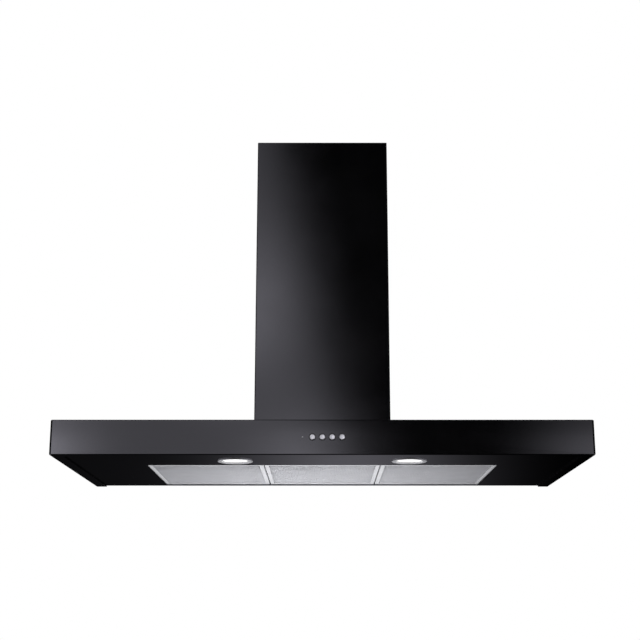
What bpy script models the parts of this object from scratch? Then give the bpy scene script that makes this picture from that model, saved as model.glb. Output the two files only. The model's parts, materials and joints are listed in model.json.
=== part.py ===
"""A wall-hung chimney cooker hood: a wide shallow canopy with three filters, two lamps and four
push buttons, a telescopic chimney, and a double-inlet centrifugal blower inside.

Metres. X runs to the right, Y to the wall and Z up. The origin is at the middle of the canopy's
underside: the fascia is at y = -DEPTH / 2 and the wall at y = DEPTH / 2.
"""

import math

import bmesh
import bpy
from mathutils import Matrix, Vector

# Overall
WIDTH = 1.100
DEPTH = 0.500
CANOPY_HEIGHT = 0.072
TOTAL_HEIGHT = 0.780

# Sheet metal
SHEET = 0.001
GAP = 0.0003
HEM = 0.002
FIT = 0.0005
RETURN_FLANGE = 0.025
CORNER_BEND = 0.005
EDGE_BEND = 0.002
REAR_PANEL_FLANGE = 0.014

# Filters
FILTER_COUNT = 3
FILTER_PITCH = 0.2508
FILTER_WIDTH = 0.2496
FILTER_THICK = 0.008
FILTER_BORDER = 0.009
FILTER_GAUGE = 0.0008
FILTER_FRONT_SETBACK = 0.160
RAIL_DEPTH = 0.026
RAIL_CLEARANCE = 0.003
LIP_HEIGHT = 0.009
TAB_X = 0.080
NECK_HALF_WIDTH = 0.005
BEAD_RADIUS = 0.0022
BEAD_HALF_LENGTH = 0.010
SIDES = ("left", "centre", "right")

# Filter latches
LATCH_HALF_WIDTH = 0.013
LATCH_LENGTH = 0.014
LATCH_TRAVEL = 0.0055
LATCH_THICK = 0.004
TONGUE_HALF_WIDTH = 0.006
TONGUE_PROUD = 0.0004

# Wall fixings
HANGER_X = 0.330
HANGER_Z = 0.040
HANGER_HALF_WIDTH = 0.025
HANGER_DROP = 0.024
HANGER_RISE = 0.022
HANGER_THICK = 0.002
KEYHOLE_DROP = 0.008
KEYHOLE_RISE = 0.007
KEYHOLE_RADIUS = 0.0065
KEYHOLE_SLOT = 0.003
KEYHOLE_REACH = 0.004

# Lamps
LAMP_SETBACK = 0.097
LAMP_SPACING = 0.364
LAMP_RADIUS = 0.038
LAMP_HOLE_RADIUS = 0.034
LAMP_LIP_LOW = 0.0005
LAMP_THROAT = 0.0285
LAMP_SLEEVE_TOP = 0.0125
LAMP_SLEEVE_WALL = 0.0013
LAMP_SHELF = 0.0042
LENS_LOW, LENS_TOP = 0.0045, 0.0065
MODULE_LOW, MODULE_SHOULDER, MODULE_WAIST, MODULE_TOP = 0.0068, 0.0120, 0.0140, 0.0300
MODULE_RADIUS = 0.028

# Controls
BUTTON_COUNT = 4
BUTTON_PITCH = 0.020
BUTTON_RADIUS = 0.0055
BUTTON_PROUD = 0.0028
BUTTON_CHAMFER = 0.0005
COLLAR_STEP = 0.0011
COLLAR_THICK = 0.0012
STEM_RADIUS = 0.003
STEM_END = 0.0095
INDICATOR_RADIUS = 0.0015
INDICATOR_PROUD = 0.0006
SWITCH_DEPTH = 0.016
SWITCH_MARGIN = 0.012
SWITCH_HALF_HEIGHT = 0.015
SWITCH_BORE_CLEARANCE = 0.0017
BOARD_MARGIN = 0.018
BOARD_HALF_HEIGHT = 0.019
BOARD_THICK = 0.0016
DRIVER_LEFT, DRIVER_RIGHT = 0.262, 0.362
DRIVER_FRONT, DRIVER_REAR = -0.030, 0.015
DRIVER_HEIGHT = 0.026
DRIVER_EAR = 0.012
DRIVER_EAR_THICK = 0.003

# Blower
BLOWER_Z = 0.185
CHASSIS_HALF_WIDTH = 0.128
CHASSIS_DEPTH = 0.210
CHASSIS_TOP = 0.330
CHASSIS_FOOT = 0.012
INTAKE_INSET = 0.012
LEAD_X = -0.075
LEAD_HOLE_RADIUS = 0.008
VOLUTE_HALF_WIDTH = 0.066
VOLUTE_WALL = 0.002
VOLUTE_SMALL = 0.080
VOLUTE_LARGE = 0.100
VOLUTE_INLET_RADIUS = 0.062
TONGUE_ANGLE = 60
THROAT_MARGIN = 0.005
IMPELLER_RADIUS = 0.075
IMPELLER_HALF_LENGTH = 0.056
IMPELLER_RIM = 0.003
IMPELLER_RIM_INNER = 0.0655
BLADE_COUNT = 24
BLADE_CHORD = 0.0125
BLADE_THICK = 0.001
BLADE_PLACE = 0.0692
BLADE_LEAN = 35
DISC_RADIUS = 0.068
DISC_LOW, DISC_HIGH = 0.002, 0.004
HUB_RADIUS, HUB_BORE = 0.014, 0.0045
HUB_LOW, HUB_HIGH = -0.004, 0.016
SHAFT_RADIUS = 0.004
SHAFT_LOW, SHAFT_HIGH = -0.0055, 0.022
MOTOR_RADIUS = 0.043
MOTOR_END, MOTOR_NOSE = -0.096, -0.0062
MOTOR_BOSS_RADIUS = 0.012
BRACKET_THICK = 0.0015
BRACKET_RING_INNER, BRACKET_RING_OUTER = 0.0435, 0.052
BRACKET_ARM_COUNT = 3
BRACKET_ARM_MIDDLE, BRACKET_ARM_LENGTH, BRACKET_ARM_WIDTH = 0.0605, 0.027, 0.012

# Outlet and damper
OUTLET_RADIUS = 0.075
OUTLET_WALL = 0.0015
COLLAR_HEIGHT = 0.055
COLLAR_FLANGE_RADIUS = 0.088
LEDGE_WIDTH = 0.003
FLAP_RISE = 0.0285
FLAP_THICK = 0.0012
FLAP_OFFSET = 0.0045
FLAP_CLEARANCE = 0.0007
KNUCKLE_RADIUS = 0.003
KNUCKLE_BORE = 0.0017
KNUCKLE_HALF_LENGTH = 0.068
PIN_RADIUS = 0.0013
PIN_HALF_LENGTH = 0.0695
CORNER_CUT = 0.004

# Electrical parts behind the blower
CAPACITOR_X, CAPACITOR_Z = 0.060, 0.140
CAPACITOR_RADIUS = 0.015
CAPACITOR_HALF_LENGTH = 0.030
CAPACITOR_CHAMFER = 0.003
STRAP_THICK = 0.001
STRAP_WIDTH = 0.014
STRAP_FOOT = 0.012
TERMINAL_LEFT, TERMINAL_RIGHT = -0.115, -0.035
TERMINAL_LOW, TERMINAL_TOP = 0.150, 0.220
TERMINAL_DEPTH = 0.032
TERMINAL_POST = 0.010
BLOCK_INSET = 0.012
BLOCK_LOW, BLOCK_HEIGHT = 0.162, 0.012
BLOCK_DEPTH = 0.010
BOSS_COUNT, BOSS_PITCH, BOSS_WIDTH, BOSS_RISE = 3, 0.019, 0.014, 0.018
GLAND_BORE, GLAND_NUT, GLAND_CAP = 0.0035, 0.0095, 0.0085
GLAND_HEIGHT = 0.017

# Screws
SCREW_RADIUS = 0.0015
SCREW_HEAD_RADIUS = 0.003
SCREW_HEAD = 0.0018
SCREW_LENGTH = 0.006
SCREW_HOLE = SCREW_RADIUS + GAP
FOOT_SCREW_Y = (0.030, 0.170)
LID_SCREW_INSET = 0.005
LID_SCREW_LENGTH = 0.010

# Chimney
CHIMNEY_WIDTH = 0.304
CHIMNEY_DEPTH = 0.270
CHIMNEY_RETURN = 0.020
CHIMNEY_BEND = 0.0022
UPPER_CLEARANCE = 0.0005
UPPER_LOW = 0.340
VENT_COUNT = 7
VENT_PITCH = 0.011
VENT_HEIGHT = 0.005
VENT_DROP = 0.110
VENT_FRONT, VENT_REAR = 0.070, 0.170
STAY_THICK = 0.0012
STAY_ARM_X = 0.127
STAY_EAR_DEPTH = 0.035
STAY_EAR_LENGTH = 0.015
STAY_SIDE_GAP = 0.0035
STAY_DROP, STAY_HEIGHT = 0.038, 0.028
STAY_SLOT_X, STAY_SLOT_LENGTH, STAY_SLOT_HEIGHT = 0.090, 0.016, 0.005

# Worked out from the above
FRONT = -DEPTH / 2
WALL = DEPTH / 2
SIDE = WIDTH / 2
TOP = CANOPY_HEIGHT
PANEL_LOW = HEM + GAP
PANEL_TOP = PANEL_LOW + SHEET
RAIL_REAR = WALL - SHEET - FIT
RAIL_FRONT = RAIL_REAR - RAIL_DEPTH
RAIL_TOP = PANEL_LOW + LIP_HEIGHT
FILTER_FRONT = FRONT + FILTER_FRONT_SETBACK
FILTER_REAR = RAIL_FRONT - RAIL_CLEARANCE
FILTER_LOW = PANEL_LOW
FILTER_TOP = FILTER_LOW + FILTER_THICK
HINGE_Y = RAIL_FRONT + 0.004
HINGE_Z = (PANEL_LOW + RAIL_TOP) / 2
BAY_HALF_WIDTH = (FILTER_COUNT - 1) / 2 * FILTER_PITCH + FILTER_WIDTH / 2 + 0.0009
BAY_FRONT = FILTER_FRONT - 0.0008
LAMP_Y = FRONT + LAMP_SETBACK
LAMP_SLEEVE = LAMP_HOLE_RADIUS - FIT
LENS_RADIUS = LAMP_SLEEVE - LAMP_SLEEVE_WALL - 0.0004
BUTTON_Z = CANOPY_HEIGHT / 2
SWITCH_FRONT = FRONT + SHEET + GAP
SWITCH_REAR = FRONT + SWITCH_DEPTH
CHIMNEY_FRONT = WALL - CHIMNEY_DEPTH
CHASSIS_FRONT = CHIMNEY_FRONT + 0.016
CHASSIS_REAR = CHASSIS_FRONT + CHASSIS_DEPTH
BLOWER_Y = (CHASSIS_FRONT + CHASSIS_REAR) / 2
BLOWER = (0, BLOWER_Y, BLOWER_Z)
VOLUTE_TOP = CHASSIS_TOP - 2 * SHEET
COLLAR_LOW = CHASSIS_TOP + GAP
COLLAR_TOP = CHASSIS_TOP + COLLAR_HEIGHT
FLAP_Z = CHASSIS_TOP + FLAP_RISE
REAR_MOUNT = CHASSIS_REAR + GAP

FINISHES = {
    "black_paint": ((0.012, 0.012, 0.013), 0.38, 0.0),
    "aluminium": ((0.62, 0.62, 0.63), 0.38, 1.0),
    "aluminium_mesh": ((0.55, 0.55, 0.56), 0.45, 1.0),
    "chrome": ((0.78, 0.78, 0.79), 0.12, 1.0),
    "satin_steel": ((0.72, 0.72, 0.72), 0.25, 1.0),
    "galvanised": ((0.50, 0.52, 0.53), 0.42, 1.0),
    "lens": ((0.95, 0.95, 0.92), 0.20, 0.0),
    "indicator": ((0.20, 0.20, 0.22), 0.25, 0.0),
    "black_plastic": ((0.02, 0.02, 0.021), 0.50, 0.0),
    "grey_plastic": ((0.25, 0.26, 0.27), 0.50, 0.0),
    "light_plastic": ((0.45, 0.45, 0.46), 0.50, 0.0),
    "white_plastic": ((0.75, 0.75, 0.72), 0.45, 0.0),
    "circuit_board": ((0.02, 0.16, 0.06), 0.45, 0.0),
}

AXES = {"X": (1, 2, 0), "Y": (0, 2, 1), "Z": (0, 1, 2)}
MERGE = 1e-7
TOUCH = 1e-6


def clear_scene():
    for item in list(bpy.data.objects):
        bpy.data.objects.remove(item)


def finish_material(name):
    """The Principled material of one finish, made on first use."""
    if name in bpy.data.materials:
        return bpy.data.materials[name]
    colour, roughness, metallic = FINISHES[name]
    material = bpy.data.materials.new(name)
    material.use_nodes = True
    shader = material.node_tree.nodes["Principled BSDF"]
    shader.inputs["Base Color"].default_value = (*colour, 1)
    shader.inputs["Roughness"].default_value = roughness
    shader.inputs["Metallic"].default_value = metallic
    return material


def new_object(name, bm, finish=None, origin=(0, 0, 0)):
    """Turn a bmesh in world coordinates into an object with its origin at a given point."""
    bmesh.ops.remove_doubles(bm, verts=bm.verts, dist=MERGE)
    bmesh.ops.recalc_face_normals(bm, faces=bm.faces)
    bmesh.ops.translate(bm, verts=bm.verts, vec=-Vector(origin))
    mesh = bpy.data.meshes.new(name)
    bm.to_mesh(mesh)
    bm.free()
    item = bpy.data.objects.new(name, mesh)
    item.location = origin
    bpy.context.scene.collection.objects.link(item)
    if finish:
        mesh.materials.append(finish_material(finish))
    else:
        item.hide_render = True
        item.display_type = "WIRE"
    return item


def smooth(item, angle=30):
    item.data.shade_smooth()
    item.data.set_sharp_from_angle(angle=math.radians(angle))
    return item


def boxes(name, corners, finish=None, origin=(0, 0, 0)):
    """One mesh of separate blocks, each given by its lowest and highest corners."""
    bm = bmesh.new()
    for low, high in corners:
        low, high = Vector(low), Vector(high)
        place = Matrix.Translation((low + high) / 2) @ Matrix.Diagonal((*(high - low), 1))
        bmesh.ops.create_cube(bm, size=1, matrix=place)
    return new_object(name, bm, finish, origin)


def box(name, low, high, finish=None, origin=(0, 0, 0)):
    return boxes(name, [(low, high)], finish, origin)


def placed(axis, a, b, along):
    """A point from two coordinates across an axis and one along it."""
    point = [0, 0, 0]
    first, second, third = AXES[axis]
    point[first], point[second], point[third] = a, b, along
    return point


def prism(name, outline, low, high, axis, finish=None, origin=(0, 0, 0)):
    """A closed outline drawn across an axis and extruded along it."""
    bm = bmesh.new()
    face = bm.faces.new([bm.verts.new(placed(axis, a, b, low)) for a, b in outline])
    grown = bmesh.ops.extrude_face_region(bm, geom=[face])["geom"]
    rise = placed(axis, 0, 0, high - low)
    bmesh.ops.translate(bm, verts=[v for v in grown if isinstance(v, bmesh.types.BMVert)], vec=rise)
    return new_object(name, bm, finish, origin)


def turned(name, profile, centre, axis, steps, finish=None, origin=(0, 0, 0)):
    """A closed profile of (radius, distance along the axis) turned about an axis."""
    bm = bmesh.new()
    across = centre[AXES[axis][0]], centre[AXES[axis][1]]
    start = centre[AXES[axis][2]]
    verts = [bm.verts.new(placed(axis, across[0] + r, across[1], start + h)) for r, h in profile]
    edges = [bm.edges.new((verts[i - 1], verts[i])) for i in range(len(verts))]
    bmesh.ops.spin(bm, geom=verts + edges, cent=centre, axis=placed(axis, 0, 0, 1),
                   angle=2 * math.pi, steps=steps, use_merge=True)
    bmesh.ops.remove_doubles(bm, verts=bm.verts, dist=MERGE)
    bmesh.ops.dissolve_degenerate(bm, edges=bm.edges, dist=MERGE)
    return smooth(new_object(name, bm, finish, origin))


def rod(name, centre, axis, radius, low, high, steps, finish=None, origin=(0, 0, 0)):
    profile = [(0, low), (radius, low), (radius, high), (0, high)]
    return turned(name, profile, centre, axis, steps, finish, origin)


def combine(item, other, operation):
    other.hide_render = True
    other.display_type = "WIRE"
    change = item.modifiers.new(other.name, "BOOLEAN")
    change.operation = operation
    change.object = other
    return item


def cut(item, *cutters):
    for cutter in cutters:
        combine(item, cutter, "DIFFERENCE")
    return item


def join(item, *others):
    for other in others:
        combine(item, other, "UNION")
    return item


def arc(centre, radius, start, end, steps):
    """Points on an arc, angles in degrees, both ends included."""
    turns = [math.radians(start + (end - start) * i / steps) for i in range(steps + 1)]
    return [(centre[0] + radius * math.cos(t), centre[1] + radius * math.sin(t)) for t in turns]


def rounded_path(corners, radius, steps=3):
    """An open path whose inner corners are square bends, each replaced by an arc."""
    path = [corners[0]]
    for before, corner, after in zip(corners, corners[1:], corners[2:]):
        into = (Vector(before) - Vector(corner)).normalized()
        away = (Vector(after) - Vector(corner)).normalized()
        centre = Vector(corner) + (into + away) * radius
        for i in range(steps + 1):
            t = math.pi / 2 * i / steps
            path.append(tuple(centre - away * radius * math.cos(t) - into * radius * math.sin(t)))
    return path + [corners[-1]]


def ribbon(path, thick):
    """The closed outline of a strip of sheet that is folded along an open path."""
    points = [Vector(p) for p in path]
    runs = [(b - a).normalized() for a, b in zip(points, points[1:])]
    left, right = [], []
    for i, point in enumerate(points):
        behind, ahead = runs[max(i - 1, 0)], runs[min(i, len(runs) - 1)]
        along = (behind + ahead).normalized()
        reach = Vector((-along.y, along.x)) * thick / 2 / along.dot(ahead)
        left.append(tuple(point + reach))
        right.append(tuple(point - reach))
    return left + right[::-1]


def folded_box(name, low, high, bend, edge_bend, finish=None):
    """A block whose two front upright edges and top and bottom edges are bent round."""
    bm = bmesh.new()
    low, high = Vector(low), Vector(high)
    place = Matrix.Translation((low + high) / 2) @ Matrix.Diagonal((*(high - low), 1))
    bmesh.ops.create_cube(bm, size=1, matrix=place)

    def at_front(v):
        return abs(v.co.y - low.y) < TOUCH

    upright = [e for e in bm.edges if all(at_front(v) for v in e.verts)
               and abs(e.verts[0].co.z - e.verts[1].co.z) > bend]
    bmesh.ops.bevel(bm, geom=upright, offset=bend, segments=4, profile=0.5, affect="EDGES")
    if edge_bend:
        rims = [e for e in bm.edges
                if any(abs(e.verts[0].co.z - z) < TOUCH and abs(e.verts[1].co.z - z) < TOUCH
                       for z in (low.z, high.z))
                and not all(abs(v.co.y - high.y) < TOUCH for v in e.verts)]
        bmesh.ops.bevel(bm, geom=rims, offset=edge_bend, segments=2, profile=0.5, affect="EDGES")
    return new_object(name, bm, finish)


# Canopy ---------------------------------------------------------------------------------------

def button_xs():
    return [(i - 1) * BUTTON_PITCH for i in range(BUTTON_COUNT)]


def indicator_x():
    return button_xs()[0] - BUTTON_PITCH


def lamp_places():
    return [("left", -LAMP_SPACING / 2), ("right", LAMP_SPACING / 2)]


def hanger_places():
    return [("left", -HANGER_X), ("right", HANGER_X)]


def foot_screw_places():
    """Where screws hold the chassis's foot flange to the canopy's top plate."""
    aside = CHASSIS_HALF_WIDTH + CHASSIS_FOOT / 2
    return [(x, y) for x in (-aside, aside) for y in FOOT_SCREW_Y]


def canopy_shell():
    """Fascia, sides and top in one folded sheet, with a hemmed return flange along the bottom."""
    shell = folded_box("canopy_shell", (-SIDE, FRONT, 0), (SIDE, WALL, TOP), CORNER_BEND, EDGE_BEND,
                       "black_paint")
    inside = folded_box("shell_inside", (-SIDE + SHEET, FRONT + SHEET, HEM),
                        (SIDE - SHEET, WALL + SHEET, TOP - SHEET), CORNER_BEND - SHEET, 0)
    mouth = box("shell_mouth", (-SIDE + RETURN_FLANGE, FRONT + RETURN_FLANGE, -HEM),
                (SIDE - RETURN_FLANGE, WALL + SHEET, HEM + SHEET))
    half = CHASSIS_HALF_WIDTH - INTAKE_INSET
    intake = box("shell_intake", (-half, CHASSIS_FRONT + INTAKE_INSET, TOP / 2),
                 (half, CHASSIS_REAR - INTAKE_INSET, TOP + HEM))
    cut(shell, inside, mouth, intake)
    for i, x in enumerate(button_xs()):
        cut(shell, rod(f"button_hole_{i}", (x, FRONT, BUTTON_Z), "Y", BUTTON_RADIUS + 0.0004,
                       -HEM, HEM, 24))
    cut(shell, rod("indicator_hole", (indicator_x(), FRONT, BUTTON_Z), "Y",
                   INDICATOR_RADIUS + GAP, -HEM, HEM, 16))
    for i, (x, y) in enumerate(foot_screw_places()):
        cut(shell, rod(f"shell_screw_hole_{i}", (x, y, TOP), "Z", SCREW_HOLE, -HEM, HEM, 12))
    return smooth(shell)


def canopy_rear_panel():
    """The plate against the wall, flanged forward on three edges, with two keyholes."""
    low = (-SIDE + SHEET + GAP, WALL - REAR_PANEL_FLANGE, PANEL_TOP + GAP)
    high = (SIDE - SHEET - GAP, WALL, TOP - SHEET - GAP)
    panel = box("canopy_rear_panel", low, high, "black_paint")
    tray = box("rear_panel_tray", (low[0] + SHEET, low[1] - SHEET, low[2] - SHEET),
               (high[0] - SHEET, WALL - SHEET, high[2] - SHEET))
    cut(panel, tray)
    for side, x in hanger_places():
        cut(panel, *keyhole(f"panel_{side}", x, WALL))
    return panel


def keyhole(name, x, y):
    """The cutters of one keyhole: a round hole for the screw's head and a slot above it."""
    low = HANGER_Z - KEYHOLE_DROP
    head = rod(f"keyhole_head_{name}", (x, y, low), "Y", KEYHOLE_RADIUS, -KEYHOLE_REACH, HEM, 24)
    slot = box(f"keyhole_slot_{name}", (x - KEYHOLE_SLOT, y - KEYHOLE_REACH, low),
               (x + KEYHOLE_SLOT, y + HEM, HANGER_Z + KEYHOLE_RISE))
    return head, slot


def hanger(side, x):
    """A thick steel plate behind a keyhole that carries the hood's weight on the wall screw."""
    rear = WALL - SHEET - GAP
    plate = box(f"hanger_plate_{side}",
                (x - HANGER_HALF_WIDTH, rear - HANGER_THICK, HANGER_Z - HANGER_DROP),
                (x + HANGER_HALF_WIDTH, rear, HANGER_Z + HANGER_RISE), "galvanised")
    return cut(plate, *keyhole(f"hanger_{side}", x, rear))


def bay_ring(half, front, rear, x, y, chamfer=0.0):
    """An outline round three sides of the filter bay, open to the wall."""
    return [(-x, rear), (-x, y + chamfer), (-x + chamfer, y), (x - chamfer, y), (x, y + chamfer),
            (x, rear), (half, rear), (half, front), (-half, front), (-half, rear)]


def underside_panel():
    """The sheet round the filter bay, with an upstand along the bay and two lamp holes."""
    rear = WALL - SHEET - FIT
    outline = bay_ring(BAY_HALF_WIDTH, BAY_FRONT, rear, SIDE - SHEET - FIT, FRONT + SHEET + FIT,
                       CORNER_BEND)
    panel = prism("underside_panel", outline, PANEL_LOW, RAIL_TOP, "Z", "black_paint")
    half, front, past = BAY_HALF_WIDTH + SHEET, BAY_FRONT - SHEET, rear + SHEET
    x, y = SIDE + SHEET, FRONT - SHEET
    spare = prism("panel_spare", [(-x, past), (-x, y), (x, y), (x, past), (half, past),
                                  (half, front), (-half, front), (-half, past)],
                  PANEL_TOP, RAIL_TOP + SHEET, "Z")
    cut(panel, spare)
    for side, x in lamp_places():
        cut(panel, rod(f"lamp_hole_{side}", (x, LAMP_Y, 0), "Z", LAMP_HOLE_RADIUS, 0, RAIL_TOP, 40))
    return panel


def filter_rail():
    """The channel behind the filters: their rear beads sit in it and turn in its notches."""
    half = BAY_HALF_WIDTH - GAP
    channel = [(RAIL_FRONT, PANEL_LOW), (RAIL_REAR, PANEL_LOW), (RAIL_REAR, RAIL_TOP),
               (RAIL_FRONT, RAIL_TOP), (RAIL_FRONT, RAIL_TOP - SHEET),
               (RAIL_REAR - SHEET, RAIL_TOP - SHEET), (RAIL_REAR - SHEET, PANEL_TOP),
               (RAIL_FRONT, PANEL_TOP)]
    rail = prism("filter_rail", channel, -half, half, "X", "galvanised")
    reach = NECK_HALF_WIDTH + SHEET
    notches = [((x + tab - reach, RAIL_FRONT - SHEET, 0),
                (x + tab + reach, HINGE_Y + 0.0035, PANEL_TOP + GAP))
               for x in filter_xs() for tab in (-TAB_X, TAB_X)]
    return cut(rail, boxes("rail_notches", notches))


# Filters --------------------------------------------------------------------------------------

def filter_xs():
    return [(i - (FILTER_COUNT - 1) / 2) * FILTER_PITCH for i in range(FILTER_COUNT)]


def latch_pocket(name, x, low):
    """The space that one latch slides in, open at the bottom."""
    front = FILTER_FRONT + SHEET
    return box(name, (x - LATCH_HALF_WIDTH - FIT, front, low),
               (x + LATCH_HALF_WIDTH + FIT, front + LATCH_LENGTH + LATCH_TRAVEL + SHEET,
                FILTER_LOW + LATCH_THICK + FIT))


def filter_frame(side, x):
    """A folded channel round the mesh, with two beads on necks at the rear."""
    half, wall = FILTER_WIDTH / 2, FILTER_GAUGE
    hinge = (x, HINGE_Y, HINGE_Z)
    frame = box(f"filter_{side}_frame", (x - half, FILTER_FRONT, FILTER_LOW),
                (x + half, FILTER_REAR, FILTER_TOP), "aluminium", hinge)
    window = box(f"filter_{side}_window",
                 (x - half + FILTER_BORDER, FILTER_FRONT + FILTER_BORDER, 0),
                 (x + half - FILTER_BORDER, FILTER_REAR - FILTER_BORDER, 2 * FILTER_TOP))
    groove = box(f"filter_{side}_groove", (x - half + wall, FILTER_FRONT + wall, FILTER_LOW + wall),
                 (x + half - wall, FILTER_REAR - wall, FILTER_TOP - wall))
    slot = box(f"filter_{side}_slot",
               (x - TONGUE_HALF_WIDTH - GAP, FILTER_FRONT - SHEET, FILTER_LOW + 0.0018),
               (x + TONGUE_HALF_WIDTH + GAP, FILTER_FRONT + HEM, FILTER_LOW + 0.0042))
    cut(frame, window, groove, latch_pocket(f"filter_{side}_pocket", x, 0), slot)
    for end, tab in (("a", -TAB_X), ("b", TAB_X)):
        neck = box(f"filter_{side}_neck_{end}",
                   (x + tab - NECK_HALF_WIDTH, FILTER_REAR - wall / 2, HINGE_Z - SHEET / 2),
                   (x + tab + NECK_HALF_WIDTH, HINGE_Y, HINGE_Z + SHEET / 2))
        bead = rod(f"filter_{side}_bead_{end}", hinge, "X", BEAD_RADIUS, tab - BEAD_HALF_LENGTH,
                   tab + BEAD_HALF_LENGTH, 16)
        join(frame, neck, bead)
    return frame


def filter_mesh(side, x):
    """The block that the layered aluminium mesh fills inside its frame."""
    inset = FILTER_GAUGE + GAP
    half = FILTER_WIDTH / 2 - inset
    pack = box(f"filter_{side}_mesh", (x - half, FILTER_FRONT + inset, FILTER_LOW + inset),
               (x + half, FILTER_REAR - inset, FILTER_TOP - inset), "aluminium_mesh",
               (x, HINGE_Y, HINGE_Z))
    return cut(pack, latch_pocket(f"mesh_{side}_pocket", x, 0))


def filter_latch(side, x):
    """A spring-loaded slider with a finger groove and a tongue at the filter's front edge."""
    front = FILTER_FRONT + SHEET + GAP
    low = FILTER_LOW
    slider = box(f"filter_{side}_latch", (x - LATCH_HALF_WIDTH, front, low),
                 (x + LATCH_HALF_WIDTH, front + LATCH_LENGTH, low + LATCH_THICK),
                 "light_plastic", (x, front, low))
    groove = box(f"latch_{side}_groove", (x - 0.010, front + 0.004, low - SHEET),
                 (x + 0.010, front + 0.011, low + 0.002))
    tongue = box(f"latch_{side}_tongue",
                 (x - TONGUE_HALF_WIDTH, FILTER_FRONT - TONGUE_PROUD, low + 0.0022),
                 (x + TONGUE_HALF_WIDTH, front + SHEET, low + 0.0038))
    return join(cut(slider, groove), tongue)


# Lamps ----------------------------------------------------------------------------------------

def lamp(side, x):
    """A recessed lamp: trim ring, diffuser and the module with its heat sink."""
    centre = (x, LAMP_Y, 0)
    inside = LAMP_SLEEVE - LAMP_SLEEVE_WALL
    trim = [(LAMP_RADIUS, HEM), (LAMP_SLEEVE, HEM), (LAMP_SLEEVE, LAMP_SLEEVE_TOP),
            (inside, LAMP_SLEEVE_TOP), (inside, LAMP_SHELF), (LAMP_THROAT, LAMP_SHELF),
            (LAMP_THROAT, 0.0018), (LAMP_THROAT + 0.0013, LAMP_LIP_LOW),
            (LAMP_RADIUS - 0.001, LAMP_LIP_LOW), (LAMP_RADIUS, 0.0012)]
    turned(f"lamp_{side}_bezel", trim, centre, "Z", 36, "chrome")
    disc = [(0, LENS_LOW), (LENS_RADIUS, LENS_LOW), (LENS_RADIUS, LENS_TOP), (0, LENS_TOP)]
    turned(f"lamp_{side}_lens", disc, centre, "Z", 40, "lens")
    module = [(0, MODULE_LOW), (LENS_RADIUS, MODULE_LOW), (LENS_RADIUS, MODULE_SHOULDER),
              (MODULE_RADIUS, MODULE_WAIST), (MODULE_RADIUS, MODULE_TOP), (0, MODULE_TOP)]
    turned(f"lamp_{side}_module", module, centre, "Z", 32, "aluminium")


# Controls -------------------------------------------------------------------------------------

def button(index, x):
    """A round metal push button with a collar that keeps it behind the fascia."""
    collar = BUTTON_RADIUS + COLLAR_STEP
    behind = SHEET + GAP
    profile = [(0, -BUTTON_PROUD), (BUTTON_RADIUS - BUTTON_CHAMFER, -BUTTON_PROUD),
               (BUTTON_RADIUS, -BUTTON_PROUD + BUTTON_CHAMFER), (BUTTON_RADIUS, behind),
               (collar, behind), (collar, behind + COLLAR_THICK),
               (STEM_RADIUS, behind + COLLAR_THICK), (STEM_RADIUS, STEM_END), (0, STEM_END)]
    centre = (x, FRONT, BUTTON_Z)
    return turned(f"button_{index + 1}", profile, centre, "Y", 24, "satin_steel", centre)


def indicator_lens():
    """A small domed light pipe with a shoulder behind the fascia."""
    shoulder = INDICATOR_RADIUS + 0.0007
    profile = [(0, -INDICATOR_PROUD), (INDICATOR_RADIUS / 2, -0.0004), (INDICATOR_RADIUS, 0),
               (INDICATOR_RADIUS, 0.0014), (shoulder, 0.0014), (shoulder, 0.0030), (0, 0.0030)]
    return turned("indicator_lens", profile, (indicator_x(), FRONT, BUTTON_Z), "Y", 16, "indicator")


def switch_block():
    """The moulded holder behind the fascia that guides the buttons."""
    xs = button_xs()
    block = box("switch_block",
                (indicator_x() - SWITCH_MARGIN, SWITCH_FRONT, BUTTON_Z - SWITCH_HALF_HEIGHT),
                (xs[-1] + SWITCH_MARGIN, SWITCH_REAR, BUTTON_Z + SWITCH_HALF_HEIGHT),
                "black_plastic")
    for i, x in enumerate(xs):
        cut(block, rod(f"switch_bore_{i}", (x, FRONT, BUTTON_Z), "Y",
                       BUTTON_RADIUS + SWITCH_BORE_CLEARANCE, 0, SWITCH_DEPTH + HEM, 24))
    return cut(block, rod("switch_bore_light", (indicator_x(), FRONT, BUTTON_Z), "Y",
                          INDICATOR_RADIUS + COLLAR_STEP, 0, SWITCH_DEPTH + HEM, 16))


def control_board():
    near = SWITCH_REAR + GAP
    return box("control_board",
               (indicator_x() - BOARD_MARGIN, near, BUTTON_Z - BOARD_HALF_HEIGHT),
               (button_xs()[-1] + BOARD_MARGIN, near + BOARD_THICK, BUTTON_Z + BOARD_HALF_HEIGHT),
               "circuit_board")


def led_driver():
    """The lamps' power supply, screwed up under the canopy's top plate by two ears."""
    roof = TOP - SHEET - GAP
    case = box("led_driver", (DRIVER_LEFT, DRIVER_FRONT, roof - DRIVER_HEIGHT),
               (DRIVER_RIGHT, DRIVER_REAR, roof), "white_plastic")
    ears = box("led_driver_ears",
               (DRIVER_LEFT - DRIVER_EAR, DRIVER_FRONT + DRIVER_EAR, roof - DRIVER_EAR_THICK),
               (DRIVER_RIGHT + DRIVER_EAR, DRIVER_REAR - DRIVER_EAR, roof))
    return join(case, ears)


# Blower ---------------------------------------------------------------------------------------

def strap_screw_zs():
    """Heights of the two screws that hold the capacitor's strap."""
    reach = CAPACITOR_RADIUS + STRAP_THICK + STRAP_FOOT / 2
    return [CAPACITOR_Z - reach, CAPACITOR_Z + reach]


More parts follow.
